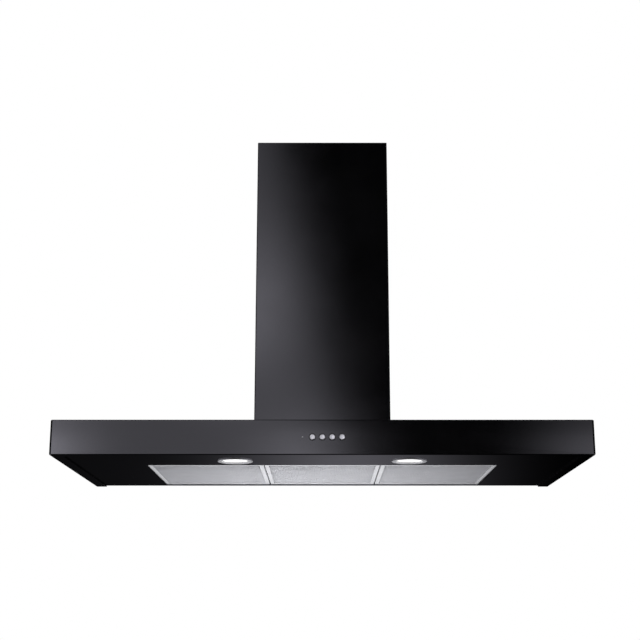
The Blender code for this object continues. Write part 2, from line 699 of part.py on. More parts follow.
def blower_chassis():
    """A sheet steel box over the canopy's intake, open below, with a foot flange all round."""
    low, half, foot = TOP + GAP, CHASSIS_HALF_WIDTH, CHASSIS_FOOT
    case = box("blower_chassis", (-half, CHASSIS_FRONT, low), (half, CHASSIS_REAR, CHASSIS_TOP),
               "galvanised")
    flange = box("chassis_foot", (-half - foot, CHASSIS_FRONT - foot, low),
                 (half + foot, CHASSIS_REAR + foot, low + SHEET))
    inside = box("chassis_inside", (-half + SHEET, CHASSIS_FRONT + SHEET, 0),
                 (half - SHEET, CHASSIS_REAR - SHEET, CHASSIS_TOP - SHEET))
    outlet = rod("chassis_outlet", (0, BLOWER_Y, CHASSIS_TOP), "Z", OUTLET_RADIUS - LEDGE_WIDTH,
                 -HEM, HEM, 48)
    lead = rod("chassis_lead_hole", (LEAD_X, CHASSIS_REAR, BLOWER_Z), "Y", LEAD_HOLE_RADIUS, -HEM,
               HEM, 16)
    cut(join(case, flange), inside, outlet, lead)
    for i, (x, y) in enumerate(foot_screw_places()):
        cut(case, rod(f"foot_screw_hole_{i}", (x, y, low), "Z", SCREW_HOLE, -HEM, HEM, 12))
    for i, z in enumerate(strap_screw_zs()):
        cut(case, rod(f"rear_screw_hole_{i}", (CAPACITOR_X, CHASSIS_REAR, z), "Y", SCREW_HOLE, -HEM,
                      HEM, 12))
    return case


def volute_outline(grow, top):
    """The scroll: its radius widens from the tongue, under the wheel and up to the throat."""
    steps = 20
    points = []
    for i in range(steps + 1):
        angle = math.radians(TONGUE_ANGLE - (TONGUE_ANGLE + 180) * i / steps)
        radius = VOLUTE_SMALL + (VOLUTE_LARGE - VOLUTE_SMALL) * i / steps + grow
        points.append((BLOWER_Y + radius * math.cos(angle), BLOWER_Z + radius * math.sin(angle)))
    throat = OUTLET_RADIUS + THROAT_MARGIN + grow
    return points + [(BLOWER_Y - throat, top), (BLOWER_Y + throat, top)]


def volute_half(side, sign):
    """One moulded half of the scroll, with its air inlet, open at the throat."""
    edges = sorted((sign * GAP / 2, sign * VOLUTE_HALF_WIDTH))
    half = prism(f"volute_{side}", volute_outline(VOLUTE_WALL, VOLUTE_TOP), *edges, "X",
                 "grey_plastic")
    cheek = sign * (VOLUTE_HALF_WIDTH - VOLUTE_WALL)
    hollow = prism(f"volute_{side}_hollow", volute_outline(0, VOLUTE_TOP + VOLUTE_WALL),
                   *sorted((-sign * VOLUTE_WALL, cheek)), "X")
    inlet = rod(f"volute_{side}_inlet", BLOWER, "X", VOLUTE_INLET_RADIUS,
                *sorted((cheek - sign * VOLUTE_WALL, cheek + 2 * sign * VOLUTE_WALL)), 40)
    return cut(half, hollow, inlet)


def impeller():
    """A double-inlet wheel: forward-curved blades between two rims and a middle disc with a hub."""
    half, rim, inner = IMPELLER_HALF_LENGTH, IMPELLER_RIM, IMPELLER_RIM_INNER
    blade = (Matrix.Translation((0, BLADE_PLACE, 0))
             @ Matrix.Rotation(math.radians(BLADE_LEAN), 4, "X")
             @ Matrix.Diagonal((2 * half - rim, BLADE_CHORD, BLADE_THICK, 1)))
    bm = bmesh.new()
    for i in range(BLADE_COUNT):
        turn = Matrix.Rotation(2 * math.pi * i / BLADE_COUNT, 4, "X")
        bmesh.ops.create_cube(bm, size=1, matrix=Matrix.Translation(BLOWER) @ turn @ blade)
    wheel = new_object("impeller", bm, "galvanised", BLOWER)
    for end, low in (("left", -half), ("right", half - rim)):
        ring = [(inner, low), (IMPELLER_RADIUS, low), (IMPELLER_RADIUS, low + rim),
                (inner, low + rim)]
        join(wheel, turned(f"impeller_rim_{end}", ring, BLOWER, "X", 36))
    disc = [(HUB_BORE, HUB_LOW), (HUB_RADIUS, HUB_LOW), (HUB_RADIUS, DISC_LOW),
            (DISC_RADIUS, DISC_LOW), (DISC_RADIUS, DISC_HIGH), (HUB_RADIUS, DISC_HIGH),
            (HUB_RADIUS, HUB_HIGH), (HUB_BORE, HUB_HIGH)]
    return join(wheel, turned("impeller_disc", disc, BLOWER, "X", 36))


def motor_shaft():
    return rod("motor_shaft", BLOWER, "X", SHAFT_RADIUS, SHAFT_LOW, SHAFT_HIGH, 16, "satin_steel",
               BLOWER)


def motor():
    """The motor's can, in the wheel's left half, with a turned boss at the shaft end."""
    profile = [(0, MOTOR_END), (MOTOR_RADIUS - 0.013, MOTOR_END),
               (MOTOR_RADIUS - 0.003, MOTOR_END + 0.006), (MOTOR_RADIUS, MOTOR_END + 0.016),
               (MOTOR_RADIUS, MOTOR_NOSE - 0.0138), (MOTOR_RADIUS - 0.005, MOTOR_NOSE - 0.0078),
               (MOTOR_BOSS_RADIUS, MOTOR_NOSE - 0.0058), (MOTOR_BOSS_RADIUS - 0.002, MOTOR_NOSE),
               (0, MOTOR_NOSE)]
    return turned("motor", profile, BLOWER, "X", 32, "galvanised")


def motor_bracket():
    """A ring round the motor with three arms to the left inlet's edge."""
    outer = -VOLUTE_HALF_WIDTH - GAP
    inner = outer - BRACKET_THICK
    ring = [(BRACKET_RING_INNER, inner), (BRACKET_RING_OUTER, inner), (BRACKET_RING_OUTER, outer),
            (BRACKET_RING_INNER, outer)]
    bracket = turned("motor_bracket", ring, BLOWER, "X", 32, "galvanised")
    middle = Matrix.Translation(((inner + outer) / 2, BLOWER_Y, BLOWER_Z))
    arm = (Matrix.Translation((0, BRACKET_ARM_MIDDLE, 0))
           @ Matrix.Diagonal((BRACKET_THICK, BRACKET_ARM_LENGTH, BRACKET_ARM_WIDTH, 1)))
    bm = bmesh.new()
    for i in range(BRACKET_ARM_COUNT):
        turn = Matrix.Rotation(2 * math.pi * i / BRACKET_ARM_COUNT + math.pi / 2, 4, "X")
        bmesh.ops.create_cube(bm, size=1, matrix=middle @ turn @ arm)
    return join(bracket, new_object("bracket_arms", bm))


def outlet_collar():
    """The flanged duct spigot, with a ledge inside that the damper's flaps rest on."""
    inner = OUTLET_RADIUS - OUTLET_WALL
    ledge = FLAP_Z - FLAP_THICK / 2 - GAP
    flange = COLLAR_LOW + OUTLET_WALL
    profile = [(inner, COLLAR_LOW), (COLLAR_FLANGE_RADIUS, COLLAR_LOW),
               (COLLAR_FLANGE_RADIUS, flange), (OUTLET_RADIUS, flange),
               (OUTLET_RADIUS, COLLAR_TOP), (inner, COLLAR_TOP), (inner, ledge),
               (inner - LEDGE_WIDTH, ledge), (inner - LEDGE_WIDTH, ledge - OUTLET_WALL),
               (inner, ledge - OUTLET_WALL)]
    return turned("outlet_collar", profile, (0, BLOWER_Y, 0), "Z", 40, "black_plastic")


def damper(side, sign):
    """One half-round flap with a knuckle, and the pin that it turns on."""
    centre = (0, BLOWER_Y + sign * FLAP_OFFSET, FLAP_Z)
    radius = OUTLET_RADIUS - OUTLET_WALL - FLAP_CLEARANCE
    start = math.degrees(math.asin(FLAP_OFFSET / radius))
    rim = arc((0, BLOWER_Y), radius, sign * start, sign * (180 - start), 20)
    flap = prism(f"damper_flap_{side}", rim, FLAP_Z - FLAP_THICK / 2, FLAP_Z + FLAP_THICK / 2, "Z",
                 "black_plastic", centre)
    tube = rod(f"damper_{side}_knuckle", centre, "X", KNUCKLE_RADIUS, -KNUCKLE_HALF_LENGTH,
               KNUCKLE_HALF_LENGTH, 16)
    bore = rod(f"damper_{side}_bore", centre, "X", KNUCKLE_BORE, -OUTLET_RADIUS, OUTLET_RADIUS, 16)
    middle = KNUCKLE_HALF_LENGTH + CORNER_CUT + FIT
    corners = boxes(f"damper_{side}_corners",
                    [((x - CORNER_CUT, centre[1] - KNUCKLE_RADIUS, FLAP_Z - KNUCKLE_RADIUS),
                      (x + CORNER_CUT, centre[1] + KNUCKLE_RADIUS, FLAP_Z + KNUCKLE_RADIUS))
                     for x in (-middle, middle)])
    cut(join(flap, tube), bore, corners)
    rod(f"damper_pin_{side}", centre, "X", PIN_RADIUS, -PIN_HALF_LENGTH, PIN_HALF_LENGTH, 16,
        "satin_steel", centre)
    return flap


# Electrical parts behind the blower -----------------------------------------------------------

def capacitor():
    """The motor's run capacitor, lying across the chassis's rear."""
    inner, half = CAPACITOR_RADIUS - CAPACITOR_CHAMFER, CAPACITOR_HALF_LENGTH
    profile = [(0, -half), (inner, -half), (CAPACITOR_RADIUS, -half + CAPACITOR_CHAMFER),
               (CAPACITOR_RADIUS, half), (0, half)]
    centre = (CAPACITOR_X, REAR_MOUNT + CAPACITOR_RADIUS, CAPACITOR_Z)
    return turned("capacitor", profile, centre, "X", 24, "white_plastic")


def capacitor_strap():
    """The steel strap bent round the capacitor, with a foot above and below it."""
    reach = CAPACITOR_RADIUS + GAP + STRAP_THICK / 2
    y, wall_y = REAR_MOUNT + CAPACITOR_RADIUS, REAR_MOUNT + STRAP_THICK / 2
    path = ([(wall_y, CAPACITOR_Z - reach - STRAP_FOOT), (wall_y, CAPACITOR_Z - reach)]
            + arc((y, CAPACITOR_Z), reach, -90, 90, 12)
            + [(wall_y, CAPACITOR_Z + reach), (wall_y, CAPACITOR_Z + reach + STRAP_FOOT)])
    low, high = CAPACITOR_X - STRAP_WIDTH / 2, CAPACITOR_X + STRAP_WIDTH / 2
    strap = prism("capacitor_strap", ribbon(path, STRAP_THICK), low, high, "X", "galvanised")
    for i, z in enumerate(strap_screw_zs()):
        cut(strap, rod(f"strap_screw_hole_{i}", (CAPACITOR_X, REAR_MOUNT, z), "Y", SCREW_HOLE, -HEM,
                       HEM, 12))
    return smooth(strap)


def lid_screw_places():
    """Where screws hold the lid to the terminal box's corner posts."""
    xs = (TERMINAL_LEFT + LID_SCREW_INSET, TERMINAL_RIGHT - LID_SCREW_INSET)
    zs = (TERMINAL_LOW + LID_SCREW_INSET, TERMINAL_TOP - LID_SCREW_INSET)
    return [(x, z) for x in xs for z in zs]


def terminal_box():
    """The mains box on the chassis's rear: a case with four corner posts, and its lid."""
    left, right, low, top = TERMINAL_LEFT, TERMINAL_RIGHT, TERMINAL_LOW, TERMINAL_TOP
    near, far = REAR_MOUNT, CHASSIS_REAR + TERMINAL_DEPTH
    middle = ((left + right) / 2, (near + far) / 2, top)
    case = box("terminal_box", (left, near, low), (right, far, top), "grey_plastic")
    tall = box("terminal_box_tall", (left + TERMINAL_POST, near + HEM, low + HEM),
               (right - TERMINAL_POST, far + HEM, top - HEM))
    wide = box("terminal_box_wide", (left + HEM, near + HEM, low + TERMINAL_POST),
               (right - HEM, far + HEM, top - TERMINAL_POST))
    entry = rod("terminal_box_entry", middle, "Z", 0.006, -2 * HEM, 2 * HEM, 16)
    lead = rod("terminal_box_lead", (LEAD_X, near, BLOWER_Z), "Y", LEAD_HOLE_RADIUS, -HEM, 2 * HEM,
               16)
    cut(case, tall, wide, entry, lead)
    lid = box("terminal_box_lid", (left, far + GAP, low), (right, far + GAP + HEM, top),
              "grey_plastic")
    for i, (x, z) in enumerate(lid_screw_places()):
        cut(case, rod(f"post_hole_{i}", (x, far, z), "Y", SCREW_HOLE, -LID_SCREW_LENGTH, HEM, 12))
        cut(lid, rod(f"lid_hole_{i}", (x, far, z), "Y", SCREW_HOLE, -HEM, 3 * HEM, 12))


def terminal_block():
    """The screw terminals that the mains lead ends in: three raised blocks on one rail."""
    left, right = TERMINAL_LEFT + BLOCK_INSET, TERMINAL_RIGHT - BLOCK_INSET
    near = REAR_MOUNT + HEM + GAP
    rail = box("terminal_block", (left, near, BLOCK_LOW),
               (right, REAR_MOUNT + BLOCK_DEPTH, BLOCK_LOW + BLOCK_HEIGHT), "white_plastic")
    bosses = [((left + HEM + i * BOSS_PITCH, near + BLOCK_DEPTH / 2, BLOCK_LOW + SHEET),
               (left + HEM + i * BOSS_PITCH + BOSS_WIDTH, REAR_MOUNT + BOSS_RISE,
                BLOCK_LOW + BLOCK_HEIGHT - SHEET)) for i in range(BOSS_COUNT)]
    return join(rail, boxes("terminal_bosses", bosses))


def cable_gland():
    """The gland on top of the terminal box: a nut, a body and a tapered cap."""
    nut_top, cap_low = 0.006, 0.007
    taper = GLAND_HEIGHT - 2 * HEM
    profile = [(GLAND_BORE, GAP), (GLAND_NUT, GAP), (GLAND_NUT, nut_top), (GLAND_CAP, cap_low),
               (GLAND_CAP, taper), (GLAND_CAP - 0.0025, GLAND_HEIGHT), (GLAND_BORE, GLAND_HEIGHT)]
    y = (REAR_MOUNT + CHASSIS_REAR + TERMINAL_DEPTH) / 2
    centre = ((TERMINAL_LEFT + TERMINAL_RIGHT) / 2, y, TERMINAL_TOP)
    return turned("cable_gland", profile, centre, "Z", 24, "black_plastic")


# Screws ---------------------------------------------------------------------------------------

def screw(name, seat, axis, length):
    """A pan-head screw; the seat is the middle of the face that its head rests on."""
    outline = [(0, -length), (SCREW_RADIUS, -length), (SCREW_RADIUS, GAP),
               (SCREW_HEAD_RADIUS, GAP), (SCREW_HEAD_RADIUS, GAP + SCREW_HEAD / 2),
               (SCREW_HEAD_RADIUS * 0.6, GAP + SCREW_HEAD), (0, GAP + SCREW_HEAD)]
    return turned(name, outline, seat, axis, 12, "satin_steel")


def screws():
    """The screws of the chassis's foot, the capacitor's strap and the terminal box's lid."""
    plate, strap = TOP + GAP + SHEET, REAR_MOUNT + STRAP_THICK
    lid = CHASSIS_REAR + TERMINAL_DEPTH + GAP + HEM
    for i, (x, y) in enumerate(foot_screw_places()):
        screw(f"foot_screw_{i + 1}", (x, y, plate), "Z", SCREW_LENGTH)
    for i, z in enumerate(strap_screw_zs()):
        screw(f"strap_screw_{i + 1}", (CAPACITOR_X, strap, z), "Y", SCREW_LENGTH)
    for i, (x, z) in enumerate(lid_screw_places()):
        screw(f"lid_screw_{i + 1}", (x, lid, z), "Y", LID_SCREW_LENGTH)


# Chimney --------------------------------------------------------------------------------------

def chimney_cover(name, inset, low, high):
    """A cover folded from one sheet: front, two sides and two short returns at the wall."""
    mid = SHEET / 2 + inset
    x, front, rear = CHIMNEY_WIDTH / 2 - mid, CHIMNEY_FRONT + mid, WALL - mid
    corners = [(-x + CHIMNEY_RETURN, rear), (-x, rear), (-x, front), (x, front), (x, rear),
               (x - CHIMNEY_RETURN, rear)]
    cover = prism(name, ribbon(rounded_path(corners, CHIMNEY_BEND), SHEET), low, high, "Z",
                  "black_paint", (0, WALL, low))
    return smooth(cover)


def chimney():
    """The fixed lower cover and the upper one, which slides up inside it to the ceiling."""
    chimney_cover("chimney_lower", 0, TOP + GAP, TOTAL_HEIGHT)
    upper = chimney_cover("chimney_upper", SHEET + UPPER_CLEARANCE, UPPER_LOW,
                          TOTAL_HEIGHT - UPPER_CLEARANCE)
    lows = [TOTAL_HEIGHT - VENT_DROP + i * VENT_PITCH for i in range(VENT_COUNT)]
    slots = [((-CHIMNEY_WIDTH, VENT_FRONT, z), (CHIMNEY_WIDTH, VENT_REAR, z + VENT_HEIGHT))
             for z in lows]
    return cut(upper, boxes("chimney_vents", slots))


def chimney_bracket():
    """The folded strap that holds the upper cover's top to the wall."""
    wall_y, ear_y = WALL - STAY_THICK / 2, WALL - STAY_EAR_DEPTH
    ear_x, tip_y = CHIMNEY_WIDTH / 2 - STAY_SIDE_GAP, ear_y - STAY_EAR_LENGTH
    path = [(-ear_x, tip_y), (-ear_x, ear_y), (-STAY_ARM_X, ear_y), (-STAY_ARM_X, wall_y),
            (STAY_ARM_X, wall_y), (STAY_ARM_X, ear_y), (ear_x, ear_y), (ear_x, tip_y)]
    low = TOTAL_HEIGHT - STAY_DROP
    middle = low + STAY_HEIGHT / 2
    strap = prism("chimney_bracket", ribbon(path, STAY_THICK), low, low + STAY_HEIGHT, "Z",
                  "galvanised", (0, WALL, low))
    holes = [((x - STAY_SLOT_LENGTH / 2, WALL - 2 * HEM, middle - STAY_SLOT_HEIGHT / 2),
              (x + STAY_SLOT_LENGTH / 2, WALL + HEM, middle + STAY_SLOT_HEIGHT / 2))
             for x in (-STAY_SLOT_X, STAY_SLOT_X)]
    return cut(strap, boxes("bracket_slots", holes))


def build():
    clear_scene()
    canopy_shell()
    canopy_rear_panel()
    for side, x in hanger_places():
        hanger(side, x)
    underside_panel()
    filter_rail()
    for side, x in zip(SIDES, filter_xs()):
        filter_frame(side, x)
        filter_mesh(side, x)
        filter_latch(side, x)
    for side, x in lamp_places():
        lamp(side, x)
    for i, x in enumerate(button_xs()):
        button(i, x)
    indicator_lens()
    switch_block()
    control_board()
    led_driver()
    blower_chassis()
    volute_half("left", -1)
    volute_half("right", 1)
    impeller()
    motor_shaft()
    motor()
    motor_bracket()
    outlet_collar()
    damper("front", -1)
    damper("rear", 1)
    capacitor()
    capacitor_strap()
    terminal_box()
    terminal_block()
    cable_gland()
    screws()
    chimney()
    chimney_bracket()


build()
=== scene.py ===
"""The finished look of a wall-hung chimney cooker hood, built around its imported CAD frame.

Metres. X runs to the right, Y to the wall and Z up. Places come from the frame's boxes and record.
"""

import json
import math

import bmesh
import bpy
from mathutils import Matrix, Vector

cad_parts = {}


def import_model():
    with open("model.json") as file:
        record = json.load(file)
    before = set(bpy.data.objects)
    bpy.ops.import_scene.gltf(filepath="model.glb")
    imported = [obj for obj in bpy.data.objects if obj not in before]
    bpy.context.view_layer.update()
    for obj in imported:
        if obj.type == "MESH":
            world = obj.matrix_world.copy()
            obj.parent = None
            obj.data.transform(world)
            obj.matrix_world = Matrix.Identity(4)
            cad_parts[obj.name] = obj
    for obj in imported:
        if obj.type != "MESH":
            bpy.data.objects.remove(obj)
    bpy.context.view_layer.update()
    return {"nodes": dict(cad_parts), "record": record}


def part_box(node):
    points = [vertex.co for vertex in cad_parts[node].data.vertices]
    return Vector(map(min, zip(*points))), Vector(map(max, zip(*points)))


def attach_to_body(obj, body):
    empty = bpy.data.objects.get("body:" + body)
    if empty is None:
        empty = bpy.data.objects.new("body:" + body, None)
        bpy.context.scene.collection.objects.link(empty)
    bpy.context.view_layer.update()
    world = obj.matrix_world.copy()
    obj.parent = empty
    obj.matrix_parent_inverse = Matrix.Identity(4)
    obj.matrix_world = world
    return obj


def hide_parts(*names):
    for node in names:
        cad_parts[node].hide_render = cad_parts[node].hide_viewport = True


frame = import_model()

RECORD = frame["record"]
BODY_OF = {node: body for body, nodes in RECORD["behaviour"]["bodies"].items() for node in nodes}
SLOT_OF = {part["node"]: part["material_slot"] for part in RECORD["subparts"]}
JOINT = {joint["name"]: joint for joint in RECORD["behaviour"]["joints"]}
FILTER_SIDES = ("left", "centre", "right")
LAMP_SIDES = ("left", "right")


# Material nodes -------------------------------------------------------------------------------

class Nodes:
    """A short way to build a node tree."""

    def __init__(self, owner):
        owner.use_nodes = True
        self.tree = owner.node_tree

    def add(self, kind, inputs=None, **settings):
        node = self.tree.nodes.new(kind)
        for key, value in settings.items():
            setattr(node, key, value)
        for key, value in (inputs or {}).items():
            self.feed(node.inputs[key], value)
        return node

    def feed(self, socket, value):
        if isinstance(value, bpy.types.NodeSocket):
            self.tree.links.new(value, socket)
        elif isinstance(value, tuple) and len(value) == 3 and socket.type == "RGBA":
            socket.default_value = (*value, 1)
        else:
            socket.default_value = value

    def math(self, operation, a, b=0.0):
        node = self.add("ShaderNodeMath", operation=operation)
        self.feed(node.inputs[0], a)
        self.feed(node.inputs[1], b)
        return node.outputs["Value"]

    def ease(self, value, start, end, low=0.0, high=1.0):
        """A smooth step from low to high as the value goes from start to end."""
        return self.add("ShaderNodeMapRange", {"Value": value, "From Min": start, "From Max": end,
                                               "To Min": low, "To Max": high},
                        interpolation_type="SMOOTHSTEP").outputs["Result"]


class Finish(Nodes):
    """One material: patterns on the piece's own coordinates, fed to a Principled shader."""

    def __init__(self, name):
        self.material = bpy.data.materials.new(name)
        super().__init__(self.material)
        self.shader = self.tree.nodes["Principled BSDF"]

    def set(self, **inputs):
        """Feed the shader: keywords are its socket names with _ for each space."""
        for key, value in inputs.items():
            self.feed(self.shader.inputs[key.replace("_", " ")], value)
        return self

    def place(self, scale=(1, 1, 1), rotation=(0, 0, 0)):
        """Coordinates on the piece itself, stretched or turned."""
        spot = self.add("ShaderNodeTexCoord")
        turned = self.add("ShaderNodeMapping", {"Vector": spot.outputs["Object"], "Scale": scale,
                                                "Rotation": rotation})
        return turned.outputs["Vector"]

    def noise(self, scale, detail=3, where=None, roughness=0.5):
        inputs = {"Scale": scale, "Detail": detail, "Roughness": roughness}
        if where is not None:
            inputs["Vector"] = where
        return self.add("ShaderNodeTexNoise", inputs).outputs["Fac"]

    def spread(self, value, low, high, start=0.3, end=0.7):
        """Map a pattern's range onto low..high."""
        return self.add("ShaderNodeMapRange", {"Value": value, "From Min": start, "From Max": end,
                                               "To Min": low, "To Max": high}).outputs["Result"]

    def tint(self, value, dark, light, start=0.3, end=0.7):
        ramp = self.add("ShaderNodeValToRGB", {"Fac": value})
        ramp.color_ramp.elements[0].position = start
        ramp.color_ramp.elements[0].color = (*dark, 1)
        ramp.color_ramp.elements[1].position = end
        ramp.color_ramp.elements[1].color = (*light, 1)
        return ramp.outputs["Color"]

    def bump(self, height, distance, strength=1.0, under=None):
        inputs = {"Height": height, "Distance": distance, "Strength": strength}
        if under is not None:
            inputs["Normal"] = under
        return self.add("ShaderNodeBump", inputs).outputs["Normal"]


def black_paint():
    """Satin black stoved paint: near-black, a clear sheen, a very fine orange peel."""
    n = Finish("black_paint")
    where = n.place()
    cloud = n.noise(9, 4, where)
    grain = n.noise(2600, 2, where)
    peel = n.noise(420, 3, where)
    n.set(Base_Color=n.tint(cloud, (0.0008, 0.0008, 0.0010), (0.0014, 0.0014, 0.0017)),
          Roughness=n.spread(n.math("ADD", n.math("MULTIPLY", cloud, 0.6),
                                    n.math("MULTIPLY", grain, 0.4)), 0.07, 0.12),
          Normal=n.bump(grain, 0.00002, 0.25, n.bump(peel, 0.00004, 0.16)))
    return n.material


def brushed_metal(name, colour, roughness, stretch, scale=1800, depth=0.00002, metallic=1.0):
    """Bare metal with fine lines along the axis that stretch makes long."""
    n = Finish(name)
    lines = n.noise(scale, 3, n.place(stretch))
    cloud = n.noise(22, 4, n.place())
    dark, light = (tuple(c * k for c in colour) for k in (0.96, 1.02))
    n.set(Base_Color=n.tint(cloud, dark, light),
          Metallic=metallic,
          Roughness=n.spread(lines, roughness - 0.05, roughness + 0.07),
          Normal=n.bump(lines, depth, 0.5))
    return n.material


def galvanised():
    """Zinc-coated sheet: faint spangles that differ in brightness and gloss."""
    n = Finish("galvanised_steel")
    where = n.place()
    warp = n.noise(60, 2, where)
    cells = n.add("ShaderNodeTexVoronoi", {"Vector": where, "Scale": 85.0, "Randomness": 1.0})
    shade = n.add("ShaderNodeSeparateColor", {"Color": cells.outputs["Color"]}).outputs["Red"]
    mixed = n.math("ADD", n.math("MULTIPLY", shade, 0.7), n.math("MULTIPLY", warp, 0.3))
    fine = n.noise(900, 3, where)
    n.set(Base_Color=n.tint(mixed, (0.42, 0.44, 0.46), (0.60, 0.62, 0.63), 0.1, 0.9),
          Metallic=1.0,
          Roughness=n.spread(mixed, 0.30, 0.46, 0.1, 0.9),
          Normal=n.bump(fine, 0.00003, 0.35))
    return n.material


def moulded(name, colour, roughness=0.5, grain=700, depth=0.00006):
    """Injection-moulded plastic with a fine spark-eroded grain."""
    n = Finish(name)
    where = n.place()
    fine = n.noise(grain, 3, where)
    cloud = n.noise(14, 3, where)
    dark, light = (tuple(c * k for c in colour) for k in (0.90, 1.08))
    n.set(Base_Color=n.tint(cloud, dark, light),
          Roughness=n.spread(fine, roughness - 0.06, roughness + 0.08),
          Normal=n.bump(fine, depth, 0.4))
    return n.material


def satin_trim():
    """The lamp's trim: pale satin metal with faint smears."""
    n = Finish("lamp_trim")
    smear = n.noise(35, 5, n.place())
    n.set(Base_Color=n.tint(smear, (0.48, 0.48, 0.49), (0.56, 0.56, 0.57)), Metallic=0.3,
          Roughness=n.spread(smear, 0.26, 0.34),
          Normal=n.bump(n.noise(300, 2, n.place()), 0.00001, 0.3))
    return n.material


def turned_steel():
    """A lathe-turned button: fine rings about its own middle."""
    n = Finish("button_steel")
    spot = n.add("ShaderNodeTexCoord").outputs["UV"]
    rings = n.add("ShaderNodeTexWave", {"Vector": spot, "Scale": 1.0, "Distortion": 0.0},
                  wave_type="BANDS", bands_direction="X", wave_profile="SIN").outputs["Fac"]
    speck = n.noise(1500, 3, n.place())
    n.set(Base_Color=n.tint(speck, (0.76, 0.76, 0.77), (0.86, 0.86, 0.87)), Metallic=0.55,
          Roughness=n.spread(rings, 0.36, 0.46, 0.0, 1.0),
          Normal=n.bump(rings, 0.00002, 0.5))
    return n.material


def lamp_glass():
    """A lit, frosted diffuser with a fine prism pattern."""
    n = Finish("lamp_lens")
    cells = n.add("ShaderNodeTexVoronoi", {"Vector": n.place(), "Scale": 420.0,
                                           "Randomness": 0.25}).outputs["Distance"]
    n.set(Base_Color=(0.90, 0.90, 0.88), Roughness=0.22, IOR=1.5,
          Emission_Color=n.tint(cells, (1.0, 0.985, 0.95), (0.80, 0.80, 0.80), 0.2, 0.9),
          Emission_Strength=1.1,
          Normal=n.bump(cells, 0.0003, 0.5))
    return n.material


def tinted_lens():
    """A small smoked grey lens."""
    n = Finish("indicator")
    n.set(Base_Color=n.tint(n.noise(900, 2, n.place()), (0.40, 0.40, 0.42), (0.48, 0.48, 0.51)),
          Roughness=0.14, Coat_Weight=0.6, Coat_Roughness=0.05)
    return n.material


def circuit_board():
    """Green board with paler tracks between its fields."""
    n = Finish("circuit_board")
    where = n.place()
    upright = n.place((1, 1, 1), (math.pi / 2, 0, 0))
    tracks = n.add("ShaderNodeTexBrick", {
        "Vector": upright, "Scale": 90.0, "Mortar Size": 0.04, "Color1": (0.01, 0.13, 0.05),
        "Color2": (0.02, 0.17, 0.07), "Mortar": (0.03, 0.24, 0.10)}).outputs["Color"]
    n.set(Base_Color=tracks, Roughness=n.spread(n.noise(500, 2, where), 0.28, 0.42))
    return n.material


MATERIALS = {
    "black_paint": black_paint(),
    "galvanised_steel": galvanised(),
    "filter_frame": brushed_metal("filter_frame", (0.70, 0.70, 0.71), 0.36, (0.04, 1, 1),
                                  metallic=0.2),
    "filter_mesh": brushed_metal("filter_mesh", (0.80, 0.80, 0.81), 0.42, (1, 1, 1), 900,
                                 metallic=0.3),
    "latch_plastic": moulded("latch_plastic", (0.50, 0.50, 0.51), 0.42),
    "lamp_trim": satin_trim(),
    "lamp_lens": lamp_glass(),
    "lamp_module": brushed_metal("lamp_module", (0.55, 0.55, 0.56), 0.45, (1, 1, 1), 700),
    "volute_plastic": moulded("volute_plastic", (0.055, 0.057, 0.06), 0.46),
    "button_steel": turned_steel(),
    "indicator": tinted_lens(),
    "black_plastic": moulded("black_plastic", (0.018, 0.018, 0.019), 0.42),
    "circuit_board": circuit_board(),
    "white_plastic": moulded("white_plastic", (0.72, 0.72, 0.69), 0.40),
    "grey_plastic": moulded("grey_plastic", (0.22, 0.23, 0.24), 0.46),
    "steel_pin": brushed_metal("steel_pin", (0.62, 0.62, 0.62), 0.22, (1, 1, 1)),
}


# Geometry helpers -----------------------------------------------------------------------------

RINGS_PER_METRE = 4000


def mesh_from(name, bm):
    """Move a bmesh into a mesh of its own."""
    mesh = bpy.data.meshes.new(name)
    bm.to_mesh(mesh)
    bm.free()
    return mesh


def piece_from(name, bm, slot, sharp=35, bevel=0.0):
    """A finished object from a bmesh: material, shading and a small bevel on its hard edges."""
    mesh = mesh_from(name, bm)
    item = bpy.data.objects.new(name, mesh)
    bpy.context.scene.collection.objects.link(item)
    mesh.materials.append(MATERIALS[slot])
    mesh.shade_smooth()
    mesh.set_sharp_from_angle(angle=math.radians(sharp))
    if bevel:
        change = item.modifiers.new("edges", "BEVEL")
        change.width = bevel
        change.segments = 2
        change.limit_method = "ANGLE"
        change.angle_limit = math.radians(sharp)
        change.miter_outer = "MITER_ARC"
    weigh = item.modifiers.new("normals", "WEIGHTED_NORMAL")
    weigh.keep_sharp = True
    return item


def attach(item, node):
    """Let a piece stand for a CAD node: it rides on that node's body and the node is hidden."""
    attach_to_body(item, BODY_OF[node])
    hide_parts(node)


def add_on(item, body):
    """A piece of its own, such as a screw, that rides on a body."""
    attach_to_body(item, body)


def refine(node, bevel):
    """The CAD node's own shape with clean faces, softened edges and smooth round stretches."""
    bm = bmesh.new()
    bm.from_mesh(frame["nodes"][node].data)
    bmesh.ops.remove_doubles(bm, verts=bm.verts, dist=2e-6)
    bmesh.ops.dissolve_limit(bm, angle_limit=math.radians(1.0), verts=bm.verts, edges=bm.edges)
    bmesh.ops.recalc_face_normals(bm, faces=bm.faces)
    attach(piece_from(node + "_skin", bm, SLOT_OF[node], bevel=bevel), node)


